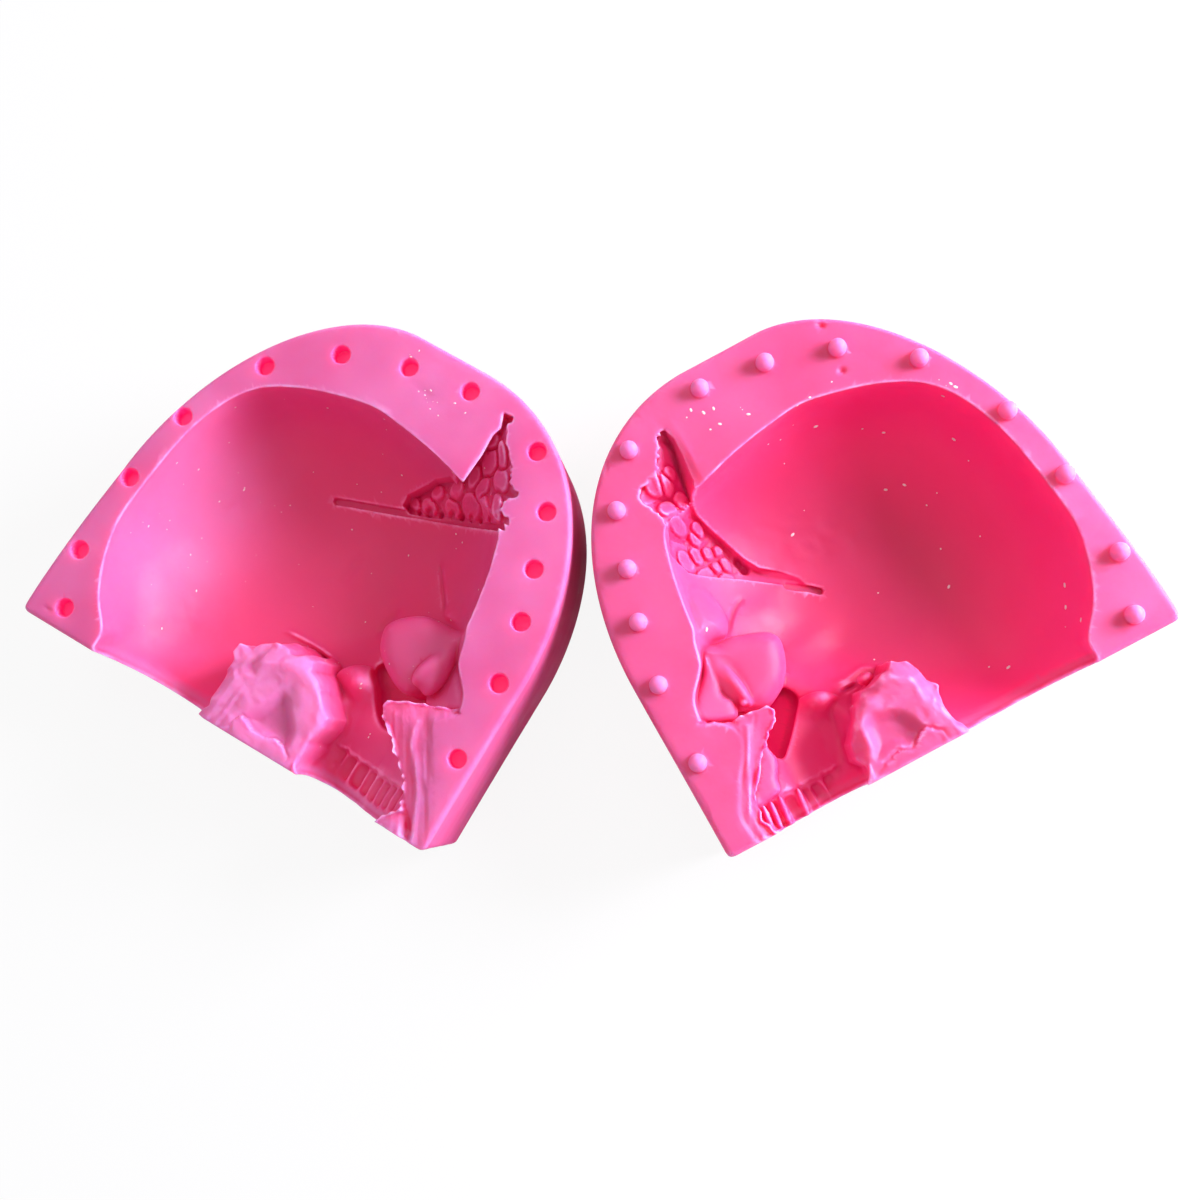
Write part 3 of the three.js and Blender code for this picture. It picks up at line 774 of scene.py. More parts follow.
class Face:
    """Lumps and hollows that the face left: eye socket, nose, palate and teeth."""

    def __init__(self, plan, half):
        uu, vv = plan.uu, plan.vv
        self.bowl = Bowl(plan, FACE_RIM, FACE_MIDDLE, FACE_LOWEST, FACE_DEPTH, FACE_FULLNESS)
        top, tilt = half["eye_top"]
        self.eye = pillow(plan, half["eye"], top + tilt * (uu - 36), 7.0)
        self.pips = [lump(plan, *pip) for pip in half["pips"]]
        self.saddle = lump(plan, *half["saddle"])
        top, tilt = half["nose_top"]
        self.nose = pillow(plan, half["nose"], top - tilt * (59.5 - uu), 3.0)
        top, tilt, fall = half["temple_top"]
        top = top - tilt * (49 - uu) - fall * np.maximum(vv - 63, 0)
        self.temple = pillow(plan, half["temple"], top, 9.0)
        depth = palate_depth(plan, half)
        along, gum = np.array(half["gum"]).T
        waves = 0.35 * np.abs(np.cos((uu - half["teeth"][0][0]) * (math.pi / 4.2)))
        over_gum = vv + waves + 0.3 * cloud(plan, 1.6, half["seed"]) - np.interp(uu, along, gum)
        depth = depth + 1.1 * ease(0.5, -0.5, over_gum) * ease(-1.0, 2.0, vv)
        self.palate = pillow(plan, half["palate"], -depth, 2.4)
        self.hole = outline_distance(closed_curve(half["hole"], 6), uu, vv)
        self.knob = lump(plan, *half["knob"])
        spot, extra = half["crevice"]
        self.crevice = extra * bump(plan, *spot)
        self.teeth = []
        for u, v, width, cut in half["teeth"]:
            at = -float(np.interp(u, PALATE_PLACES, PALATE_DEPTHS))
            lean = 0.75 * width
            tall = half["tooth_height"]
            self.teeth.append(pit(plan, (u, v, at + 1.3 - cut), (width, tall, 2.0 + lean)))
        self.fingers = []
        for u, v in half["fingers"]:
            at = -float(np.interp(u, PALATE_PLACES, PALATE_DEPTHS))
            self.fingers.append(lump(plan, (u, v, at - 0.4), (0.75, 4.4, 2.2), 6.0))
        self.ledge = pillow(plan, half["ledge"], -7.0 + 0.25 * (uu - 45), 2.5) if half["ledge"] else None

    def carve(self, skull, w, mid):
        """The skull's hollow, changed by what the face left at one level."""
        rubber = smooth_min(self.palate(w) + 0.2 * mid, self.nose(w) + 0.12 * mid, 1.6)
        for tooth in self.teeth:
            rubber = smooth_max(rubber, -tooth(w), 0.7)
        for finger in self.fingers:
            rubber = smooth_min(rubber, finger(w), 0.5)
        if self.ledge:
            rubber = smooth_min(rubber, self.ledge(w), 0.8)
        eye = self.eye(w)
        eye = smooth_min(smooth_min(eye, self.pips[0](w), 0.9), self.saddle(w), 2.5)
        rubber = smooth_min(rubber, self.pips[1](w), 0.3)
        rubber = smooth_min(rubber, self.temple(w), 1.0)
        hole = smooth_max(self.hole - 0.12 * max(-w - 12, 0.0), -34.0 - w, 3.0)
        rubber = smooth_max(rubber, -hole, 1.0)
        skull = smooth_min(skull, smooth_max(hole, w + 6.0, 1.0), 1.0)
        rubber = smooth_min(rubber, eye + 0.12 * mid, 0.6)
        rubber = smooth_min(rubber, self.knob(w), 0.8)
        return smooth_max(skull - self.crevice * ease(18, 26, -w), -rubber, 0.9)


# Sizes of the soft unevenness of the rubber
GRAIN_SIZES = (16.0, 5.5, 2.1)
WALL_MARGIN = 0.2
BACK_MARGIN = 0.15
PARTING_DROP = 0.26
CORE_ROOM_DEPTH = 18.0
CORE_ROOM = 0.8
PEG_ROOT = 3.0
PEG_FOOT_FILLET = 0.7
SOCKET_FLOOR_FILLET = 0.6


def sculpt(plan, half, sizes):
    """The silicone of one half as a solid field, level by level: negative inside the rubber."""
    uu, vv = plan.uu, plan.vv
    name = half["name"]
    seed = half["seed"]
    side = outline_distance(block_outline(), uu, vv)
    broad, medium, fine = (Grain(plan, seed + i, size) for i, size in enumerate(GRAIN_SIZES))
    cranium = Bowl(plan, CRANIUM_RIM, CRANIUM_MIDDLE, CRANIUM_LOWEST, CRANIUM_DEPTH, CRANIUM_FULLNESS)
    core, fin, tiara, face = Core(plan, half), Fin(plan, half), Tiara(plan, half, cranium), Face(plan, half)
    band_gap, _ = path_distance(open_curve(half["band"], 60), uu, vv)
    band_strip = band_gap - sizes.headband_width / 2
    key_gap = key_distance(uu, vv)
    relief = sum(a * bump(plan, *spot) for a, spot in SKULL_SPOTS[name])
    relief = relief + sum(a * crease(plan, points, width) for a, points, width in SKULL_LINES[name])
    rough = sum(a * bump(plan, *spot) for a, spot in ROUGH_SPOTS[name])
    marks = sum(a * bump(plan, *spot) for a, spot in FACE_MARKS[name])
    rim_gap = np.abs(cranium.level(0.0))
    rim_lip = np.exp(-(rim_gap / 0.7) ** 2) * (0.5 + 0.5 * cloud(plan, 2.2, seed + 30))
    wall_streaks = np.interp(plan.w, np.arange(-60, 10, 0.7), np.random.RandomState(seed).uniform(-1, 1, 100))
    levels = []
    for k, w in enumerate(plan.w):
        w = float(w)
        depth = max(-w, 0.0)
        slow, mid, quick = broad.level(k), medium.level(k), fine.level(k)
        # Block with rounded edges and an uneven parting face
        wall = side + sizes.edge_rounding + WALL_MARGIN + 0.12 * slow
        wall = wall + (0.05 * wall_streaks[k] if w < -2.5 else 0.0)
        face_level = PARTING_DROP - 0.08 * slow - 0.03 * mid - 0.22 * rim_lip + marks
        flat = np.maximum(w + face_level, BACK_MARGIN - sizes.half_thickness - w) + sizes.edge_rounding
        block = np.hypot(np.maximum(wall, 0), np.maximum(flat, 0))
        block = block + np.minimum(np.maximum(wall, flat), 0) - sizes.edge_rounding
        # Hollow that the skull left
        inner = float(ease(0.0, 7.0, depth))
        bowl = cranium.level(w)
        skull = smooth_min(bowl, face.bowl.level(w) + 0.4 * inner * slow, 3.0)
        skull = skull + inner * (relief + 0.35 * slow + 0.10 * mid + rough * (0.25 * quick + 0.15 * mid))
        skull = skull + 0.02 * quick
        skull = face.carve(skull, w, mid)
        skull = smooth_min(skull, np.maximum(bowl + inner * relief - sizes.headband_relief, band_strip), 0.25)
        skull = smooth_min(skull, np.maximum(core.side + CORE_ROOM, -CORE_ROOM_DEPTH - w), 0.5)
        skull = smooth_max(skull, -core.level(w, mid, quick), 0.7)
        skull = smooth_min(skull, fin.carve(w), 0.3)
        skull = smooth_max(skull, -fin.level(w, quick), 0.4)
        skull = smooth_min(skull, tiara.level(w, mid), 0.3)
        silicone = smooth_max(block, -skull, 0.45)
        # Keys
        if half["mirrored"]:
            r = sizes.peg_diameter / 2
            reach = np.sqrt(key_gap ** 2 + max(w - sizes.peg_height + r, 0.0) ** 2) - r
            silicone = smooth_min(silicone, np.maximum(reach, -w - PEG_ROOT), PEG_FOOT_FILLET)
        else:
            r = sizes.peg_diameter / 2 + sizes.key_clearance
            floor = -(sizes.peg_height + sizes.key_tip_room)
            hole = smooth_max(key_gap - r, floor - w, SOCKET_FLOOR_FILLET)
            silicone = smooth_max(silicone, -hole, 0.4)
        levels.append(silicone.astype(np.float32))
    return np.stack(levels, axis=2)


# Swellings and hollows of the skull's wall: height, then middle, reach along and across, turn
SKULL_SPOTS = {
    "socket_half": (
        (1.2, (-18, 30, 16, 10, 20)), (-1.0, (-30, 60, 14, 18, 0)), (1.2, (24, 66, 10, 10, 10)),
        (1.2, (34, 82, 7, 8, -20)), (-1.3, (12, 44, 9, 8, 0)), (0.8, (-46, 30, 8, 14, 0)),
    ),
    "peg_half": (
        (1.2, (-18, 30, 16, 10, 20)), (-1.0, (-30, 60, 14, 18, 0)), (1.8, (26, 60, 9, 7, 10)),
        (-1.3, (10, 40, 9, 8, 0)), (1.0, (16, 46, 10, 5, -10)),
    ),
}
# Creases and ridges of the skull's wall: height, line, width
SKULL_LINES = {
    "socket_half": (
        (-0.8, ((23, 78), (28, 72), (33, 66), (37, 61)), 0.7),
        (-0.5, ((-2, 68), (-3, 60), (-4, 54)), 1.6), (-0.8, ((20, 58), (18, 52), (17, 46)), 1.4),
        (1.0, ((-12, 33), (-3, 33.6), (6, 33.4), (13, 32.4)), 1.0),
    ),
    "peg_half": (
        (-0.7, ((28, 68), (33, 66), (37.5, 62), (41, 57.4)), 0.9),
        (0.6, ((1.7, 27), (4.7, 29.4), (8.3, 31), (14.9, 30), (20, 31)), 0.9),
    ),
}
# Places where the skull's wall is pitted
ROUGH_SPOTS = {
    "socket_half": (
        (1.0, (-44, 62, 8, 7, 0)), (1.0, (-34, 24, 7, 6, 0)), (0.5, (-40, 12, 10, 8, 0)),
        (0.5, (30, 22, 12, 10, 0)), (0.7, (24, 33, 6, 5, 0)),
    ),
    "peg_half": (
        (1.0, (-6, 72, 13, 9, 20)), (0.5, (14, 72, 14, 12, 20)), (0.6, (-22, 14, 8, 6, 0)),
        (0.5, (30, 22, 12, 10, 0)),
    ),
}
# Dents, scuffs and poured ridges on the parting face
FACE_MARKS = {
    "socket_half": ((0.5, (-66, 4.2, 1.6, 0.6, 8)), (0.25, (2, 118, 6, 1.2, -12))),
    "peg_half": (
        (1.3, (-27.6, 125, 1.1, 0.8, 40)), (1.2, (-26.2, 109.8, 1.0, 0.9, 10)),
        (-0.15, (25, 112, 0.8, 12, 1)), (0.8, (27.8, 108, 1.5, 11, -3)),
        (0.3, (48.6, 118, 1.8, 0.4, -60)), (0.3, (56, 104, 1.6, 0.4, -50)),
    ),
}


def pair_centre():
    """How far the halves' base middles lie below the middle of the pair."""
    outline = block_outline()
    y = -math.sin(HALF_TURN) * outline[:, 0] + math.cos(HALF_TURN) * outline[:, 1]
    return -(y.min() + y.max()) / 2


def place(points, half, thick):
    """A half's own millimetres to the row frame in metres."""
    c, s = math.cos(HALF_TURN), math.sin(HALF_TURN)
    u, v, w = points[:, 0], points[:, 1], points[:, 2]
    x = -CLOSING_LINE + c * u + s * v
    y = pair_centre() - s * u + c * v
    z = thick + w
    if half["mirrored"]:
        x = -x
    return np.stack([x, y, z], 1) * MM


def own_frame(points, half, thick):
    """Row frame in metres to a half's own millimetres."""
    x, y, z = points[:, 0] / MM, points[:, 1] / MM, points[:, 2] / MM
    if half["mirrored"]:
        x = -x
    x, y = x + CLOSING_LINE, y - pair_centre()
    c, s = math.cos(HALF_TURN), math.sin(HALF_TURN)
    return np.stack([c * x - s * y, s * x + c * y, z - thick], 1)


def key_distance(u, v):
    """Distance to the middle of the nearest key."""
    gap = np.full(u.shape, 1e9, np.float32)
    for distance, inset in KEY_PLACES:
        key_u, key_v = along_wall(side_wall(), distance, inset)
        gap = np.minimum(gap, np.hypot(u - key_u, v - key_v))
    return gap


def inner_share(wall, w):
    """1 inside the hollow and the key sockets, 0 on the parting face, the outer walls and the back."""
    return ease(-2.4, -4.0, wall) * ease(-0.6, -2.4, w) * ease(-46.5, -44.0, w)


def sample(field, at):
    """The field between its grid points."""
    base = np.clip(np.floor(at).astype(np.int64), 0, np.array(field.shape) - 2)
    part = np.clip(at - base, 0, 1).astype(np.float32)
    total = np.zeros(len(at), np.float32)
    for corner in range(8):
        bits = [corner & 1, corner >> 1 & 1, corner >> 2 & 1]
        weight = np.ones(len(at), np.float32)
        for axis, bit in enumerate(bits):
            weight *= part[:, axis] if bit else 1 - part[:, axis]
        total += weight * field[base[:, 0] + bits[0], base[:, 1] + bits[1], base[:, 2] + bits[2]]
    return total


def sharpness(field, points, reach):
    """How strongly the surface bends out (positive) or in, within a reach in grid steps."""
    total = -6 * sample(field, points)
    for axis in range(3):
        for sign in (-1, 1):
            off = np.zeros(3)
            off[axis] = sign * reach
            total += sample(field, points + off)
    return total


def egg_spot(u, v, su, sv, ru, rv):
    return np.exp(-((u - su) / ru) ** 2 - ((v - sv) / rv) ** 2)


# Where the thin rubber of the hollow's wall lets light through, which the skin shows as painted glow
THIN_FROM = (-4, 52)


def tone_layers(field, points, step, local, half):
    """Where the skin gets painted highlight, painted shade as deep red, and painted glow, for its layers."""
    u, v, w = local.T
    at_key = ease(3.7, 3.2, key_distance(u, v))
    wall = outline_distance(block_outline(), u, v)
    hollow = inner_share(wall, w)
    # The core's top and a lit spot of the hollow's wall get painted light and lose the painted shade of the
    # hollow
    core = ease(0.6, -0.6, outline_distance(half["core"], u, v)) * ease(-9.0, -5.0, w)
    crater = ease(0.5, -3.0, outline_distance(closed_curve(half["crater"], 4), u, v))
    su, sv, ru, rv, lit_wall_highlight = half["lit_wall_spot"]
    spot = egg_spot(u, v, su, sv, ru, rv)
    lit_wall_highlight = lit_wall_highlight * spot * hollow
    hollow = hollow * (1 - core) * (1 - 0.75 * spot)
    # Painted glow, for light that shines through the rubber in the nose hole, the tiara slot and the thin far
    # wall
    hole = ease(0.5, -1.0, outline_distance(closed_curve(half["hole"], 6), u, v)) * ease(-18, -26, w)
    slot = list(half["slot_deep"]) + list(half["slot_torn"]) + list(half["slot_under"])
    slot = ease(0.4, -0.6, outline_distance(slot, u, v)) * ease(-2.0, -6.0, w)
    thin = np.maximum(ease(24, -26, u), 0.6 * ease(44, 26, v))
    far = ease(14, 56, np.hypot(u - THIN_FROM[0], v - THIN_FROM[1])) * thin
    glow = half["thin_glow"][0] + half["thin_glow"][1] * far
    glow = np.maximum(glow, np.maximum(half["hole_glow"] * hole, half["slot_glow"] * slot)) * hollow
    # edge is painted highlight on sharp edges, groove painted shade in creases, depth and hollow painted
    # shade down in the hollow, peg painted light, painted_glow the glow, and wall painted shade on the outer
    # walls, which also roughens them
    return {
        "edge": ease(0.3, 2.0, sharpness(field, points, 1.1 / step)) * (1 - at_key) * (1 - 0.7 * slot),
        "groove": ease(-0.2, -2.6, sharpness(field, points, 1.6 / step)) * (1 - at_key),
        "depth": np.clip(-w / 30.0, 0, 1),
        "hollow": hollow,
        "peg": np.maximum(
            at_key * ease(0.1, 1.4, w), np.maximum(half["core_painted_light"] * core * (1 - 0.8 * crater), lit_wall_highlight),
        ),
        "painted_glow": np.maximum(at_key * ease(-0.15, -1.0, w) * ease(-6.5, -5.5, w), glow),
        "wall": ease(-2.2, -1.2, wall) * ease(-1.0, -4.0, w),
    }


def field_mesh(name, field, plan, half, sizes):
    """One closed mesh of a field's surface, in the row frame, with shading and tones from the field."""
    band = 3 * plan.step
    grid = openvdb.FloatGrid(background=band)
    grid.copyFromArray(np.clip(field, -band, band), tolerance=0.0)
    points, tris, quads = grid.convertToPolygons(isovalue=0.0, adaptivity=sizes.merging)
    points = np.array(points, np.float64)
    tris, quads = np.array(tris).reshape(-1, 3), np.array(quads).reshape(-1, 4)
    lean = []
    for axis in range(3):
        off = np.zeros(3)
        off[axis] = 0.75
        lean.append(sample(field, points + off) - sample(field, points - off))
    normals = np.stack(lean, 1)
    local = plan.origin() + points * plan.step
    placed = place(local, half, sizes.half_thickness)
    turned_out = place(local + normals, half, sizes.half_thickness) - placed
    turned_out /= np.linalg.norm(turned_out, axis=1, keepdims=True) + 1e-12
    # Corner order makes the faces point out of the rubber
    a, b, c = (placed[tris[:, i]] for i in range(3))
    facing = np.einsum("ij,ij->i", np.cross(b - a, c - a), turned_out[tris[:, 0]])
    if facing.sum() < 0:
        tris, quads = tris[:, ::-1], quads[:, ::-1]
    corners = np.concatenate([quads.ravel(), tris.ravel()]).astype(np.int32)
    totals = np.concatenate([np.full(len(quads), 4), np.full(len(tris), 3)])
    mesh = bpy.data.meshes.new(name)
    mesh.vertices.add(len(placed))
    mesh.vertices.foreach_set("co", placed.astype(np.float32).ravel())
    mesh.loops.add(len(corners))
    mesh.loops.foreach_set("vertex_index", corners)
    mesh.polygons.add(len(totals))
    mesh.polygons.foreach_set("loop_start", (np.cumsum(totals) - totals).astype(np.int32))
    mesh.update(calc_edges=True)
    mesh.validate()
    mesh.polygons.foreach_set("use_smooth", [True] * len(mesh.polygons))
    mesh.normals_split_custom_set_from_vertices(turned_out.tolist())
    for key, values in tone_layers(field, points, plan.step, local, half).items():
        layer = mesh.attributes.new(key, "FLOAT", "POINT")
        layer.data.foreach_set("value", np.asarray(values, np.float32))
    return mesh


# Node helpers
def node(tree, kind, values=None, **settings):
    """New node, whose sockets get numbers or are fed from other nodes."""
    made = tree.nodes.new(kind)
    for key, value in settings.items():
        setattr(made, key, value)
    feed(tree, made, values or {})
    return made


def feed(tree, made, values):
    for key, value in values.items():
        if isinstance(value, bpy.types.NodeSocket):
            tree.links.new(value, made.inputs[key])
        else:
            made.inputs[key].default_value = value


def maths(tree, operation, *values, clamp=False):
    made = node(tree, "ShaderNodeMath", dict(enumerate(values)), operation=operation, use_clamp=clamp)
    return made.outputs["Value"]


def tone_mix(tree, factor, below, above):
    """Colour that goes from one to another by a factor."""
    mix = node(tree, "ShaderNodeMix", {"Factor": factor, "A": below, "B": above}, data_type="RGBA")
    return mix.outputs["Result"]


def stretched(tree, value, low, high, to_low=0.0, to_high=1.0):
    """Value whose range from low to high is stretched to another range."""
    values = {"Value": value, "From Min": low, "From Max": high, "To Min": to_low, "To Max": to_high}
    return node(tree, "ShaderNodeMapRange", values).outputs["Result"]


def add_sockets(tree, in_out, kinds):
    for name, kind in kinds.items():
        tree.interface.new_socket(name, in_out=in_out, socket_type="NodeSocket" + kind)


def new_material(name):
    """Empty material: gives it back with its tree and its output node."""
    material = bpy.data.materials.new(name)
    material.use_nodes = True
    material.node_tree.nodes.clear()
    return material, material.node_tree, material.node_tree.nodes.new("ShaderNodeOutputMaterial")


def object_place(tree):
    return tree.nodes.new("ShaderNodeTexCoord").outputs["Object"]


TONE_SOCKETS = ("Mid tone", "Pale tone", "Painted shade tone", "Edge highlight tone", "Painted light tone", "Painted glow tone")
TONE_LAYERS = ("edge", "groove", "depth", "hollow", "peg", "painted_glow", "wall")


def build_skin_group():
    """Uneven rubber: broad tone, painted shade as deep red in the hollow, painted highlight on pale edges and
    pegs, painted glow, finger marks and a fine grain.
    """
    group = bpy.data.node_groups.new("Silicone skin", "ShaderNodeTree")
    add_sockets(group, "INPUT", {name: "Color" for name in TONE_SOCKETS})
    add_sockets(group, "INPUT", {"Grain size": "Float"})
    add_sockets(group, "OUTPUT", {"Color": "Color", "Glow": "Color", "Roughness": "Float", "Height": "Float"})
    inlet, outlet = group.nodes.new("NodeGroupInput"), group.nodes.new("NodeGroupOutput")
    given = inlet.outputs
    at = object_place(group)
    grains = ((22.0, 3.0, 0.55), (95.0, 5.0, 0.6), (given["Grain size"], 4.0, 0.65))
    broad, cloudy, fine = (
        node(group, "ShaderNodeTexNoise", {"Vector": at, "Scale": scale, "Detail": detail, "Roughness": mix})
        .outputs["Fac"] for scale, detail, mix in grains
    )
    edge, groove, depth, hollow, peg, painted_glow, wall = (
        node(group, "ShaderNodeAttribute", attribute_name=key).outputs["Fac"] for key in TONE_LAYERS
    )
    colour = tone_mix(group, stretched(group, broad, 0.35, 0.68), given["Mid tone"], given["Pale tone"])
    # Painted shade: deep red that grows with depth in the hollow, in its creases and on the outer walls
    red = maths(group, "MULTIPLY_ADD", depth, 0.75, 0.25)
    red = maths(group, "MULTIPLY", red, hollow, clamp=True)
    red = maths(group, "MULTIPLY_ADD", groove, hollow, red, clamp=True)
    red = maths(group, "MULTIPLY_ADD", wall, 0.7, red, clamp=True)
    colour = tone_mix(group, red, colour, given["Painted shade tone"])
    # Painted highlight: sharp edges turn pale, in patches
    rim = maths(group, "MULTIPLY", edge, stretched(group, cloudy, 0.38, 0.62, 0.15, 0.85))
    colour = tone_mix(group, rim, colour, given["Edge highlight tone"])
    dark = group.nodes.new("ShaderNodeRGB").outputs["Color"]
    dark.default_value = (0, 0, 0, 1)
    height = node(group, "ShaderNodeMix", {"Factor": 0.35, "A": fine, "B": cloudy}, data_type="FLOAT")
    # Pegs, the core and a lit spot get painted light; wells, holes and thin walls get a painted glow
    feed(group, outlet, {
        "Color": tone_mix(group, peg, colour, given["Painted light tone"]),
        "Glow": tone_mix(group, painted_glow, dark, given["Painted glow tone"]),
        "Roughness": maths(group, "MULTIPLY_ADD", wall, 0.35, stretched(group, cloudy, 0.3, 0.7, 0.38, 0.58)),
        "Height": height.outputs["Result"],
    })
    return group


def silicone_material(name, tones, colours):
    material, tree, out = new_material(name)
    group = bpy.data.node_groups.get("Silicone skin") or build_skin_group()
    skin = node(tree, "ShaderNodeGroup", node_tree=group)
    feed(tree, skin, {socket: (*tone, 1) for socket, tone in tones.items()})
    skin.inputs["Grain size"].default_value = 900.0
    height = node(tree, "ShaderNodeBump", {
        "Height": skin.outputs["Height"], "Strength": 0.12, "Distance": 0.0004,
    })
    shader = node(tree, "ShaderNodeBsdfPrincipled", {
        "Base Color": skin.outputs["Color"],
        "Roughness": skin.outputs["Roughness"],
        "Normal": height.outputs["Normal"],
        # Painted glow: emission stands in for light that passes through the rubber
        "Emission Color": skin.outputs["Glow"],
        "Emission Strength": 1.0,
        "Subsurface Weight": colours.glow_weight,
        "Subsurface Radius": tuple(colours.glow_reach),
        "Subsurface Scale": colours.glow_scale,
        "Subsurface Anisotropy": 0.0,
        "IOR": 1.41,
        "Metallic": 0.0,
        "Specular IOR Level": 0.32,
    })
    feed(tree, out, {"Surface": shader.outputs["BSDF"]})
    return material


def dust_material(name, colour):
    material, tree, out = new_material(name)
    noise = node(tree, "ShaderNodeTexNoise", {"Scale": 700.0, "Detail": 2.0, "Vector": object_place(tree)})
    darker = tuple(0.82 * c for c in colour)
    paint = tone_mix(tree, noise.outputs["Fac"], (*colour, 1), (*darker, 1))
    shader = node(tree, "ShaderNodeBsdfPrincipled", {"Base Color": paint, "Roughness": 0.8})
    feed(tree, out, {"Surface": shader.outputs["BSDF"]})
    return material


# Settings
def measure(name, description, default):
    return FloatProperty(name=name, description=description + ", in millimetres", default=default)


def tone(name, description, default):
    return FloatVectorProperty(name=name, description=description, subtype="COLOR", size=3, default=default)


class MouldSizes(bpy.types.PropertyGroup):
    voxel: measure("Sculpting step", "Grid step of the sculpted field", 0.42)
    merging: FloatProperty(name="Face merging", description="How freely flat faces are merged", default=0.02)
    half_thickness: measure("Half thickness", "Parting face to back", 48.0)
    edge_rounding: measure("Edge rounding", "Radius of the outer edges", 1.6)
    peg_diameter: measure("Peg diameter", "Diameter of a registration peg", 5.3)
    peg_height: measure("Peg height", "Height of a peg over the parting face", 4.4)
    key_clearance: measure("Key clearance", "Gap round a peg in its socket", 0.15)
    key_tip_room: measure("Key tip room", "Gap past a peg's tip in its socket", 0.8)
    headband_width: measure("Headband width", "Width of the headband's groove", 2.3)
    headband_relief: measure("Headband relief", "Depth of the headband's groove", 1.9)
    speck_size: FloatProperty(
        name="Speck size", description="Across an average dust speck", default=0.00045, unit="LENGTH",
    )


class MouldColours(bpy.types.PropertyGroup):
    socket_mid: tone("Socket half", "Rubber of the socket half", (0.68, 0.105, 0.31))
    socket_pale: tone("Socket half, pale", "Paler clouds in it", (0.74, 0.178, 0.43))
    # Painted shade: deep red that the socket half's hollow, creases and outer walls are painted with
    socket_deep: tone("Socket half, deep", "Its hollow", (0.70, 0.052, 0.185))
    peg_mid: tone("Peg half", "Rubber of the peg half", (0.73, 0.072, 0.235))
    peg_pale: tone("Peg half, pale", "Paler clouds in it", (0.79, 0.122, 0.33))
    # Painted shade: deep red that the peg half's hollow, creases and outer walls are painted with
    peg_deep: tone("Peg half, deep", "Its hollow", (0.62, 0.028, 0.138))
    # Painted highlight: pale tone of sharp and torn edges
    edge: tone("Thin edges", "Sharp and torn edges", (0.96, 0.40, 0.72))
    # Painted light: pale tone of the pegs, the top of the core and a lit spot of the hollow
    painted_light: tone("Pegs", "Rubber of the registration pegs", (0.80, 0.22, 0.50))
    # Painted glow: red emission in the key wells, holes, tiara slot and thin walls
    painted_glow: tone("Key wells", "Red that glows in the key sockets", (0.42, 0.0, 0.05))
    dust: tone("Dust", "Dust and crumbs", (0.95, 0.78, 0.80))
    glow_weight: FloatProperty(
        name="Glow weight", description="Share of light that passes through the rubber", default=1.0,
    )
    glow_reach: FloatVectorProperty(
        name="Glow reach", description="How far red, green and blue travel", size=3,
        default=(1.0, 0.25, 0.40),
    )
    glow_scale: FloatProperty(
        name="Glow scale", description="Distance that the glow reach is measured in", default=0.008,
        unit="LENGTH",
    )


class StageSettings(bpy.types.PropertyGroup):
    key_power: FloatProperty(name="Key power", description="Soft lamp at the right, in watts", default=13.0)
    fill_power: FloatProperty(name="Fill power", description="Soft lamp overhead, in watts", default=2.0)
    room_light: FloatProperty(
        name="Room light", description="Strength of the even light of the room", default=0.41,
    )
    dust_density: FloatProperty(
        name="Dust density", description="Specks on a square metre of hollow", default=6500.0,
    )
    dust_seed: IntProperty(name="Dust seed", description="Seed of the specks' places", default=4)


def settings():
    scene = bpy.context.scene
    return scene.mould_sizes, scene.mould_colours, scene.mould_stage


def new_object(name, data):
    made = bpy.data.objects.new(name, data)
    bpy.context.scene.collection.objects.link(made)
    return made


def build_half(half):
    sizes, colours, _ = settings()
    step = sizes.voxel
    plan = Plan(step)
    name = half["name"] + "_silicone"
    mesh = field_mesh(name, sculpt(plan, half, sizes), plan, half, sizes)
    own = [getattr(colours, half["colour"] + kind) for kind in ("_mid", "_pale", "_deep")]
    tones = dict(zip(TONE_SOCKETS, own + [colours.edge, colours.painted_light, colours.painted_glow]))
    mesh.materials.append(silicone_material(name, tones, colours))
    piece = new_object(name, mesh)
    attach(piece, half["name"])
    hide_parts(half["name"])
    return piece


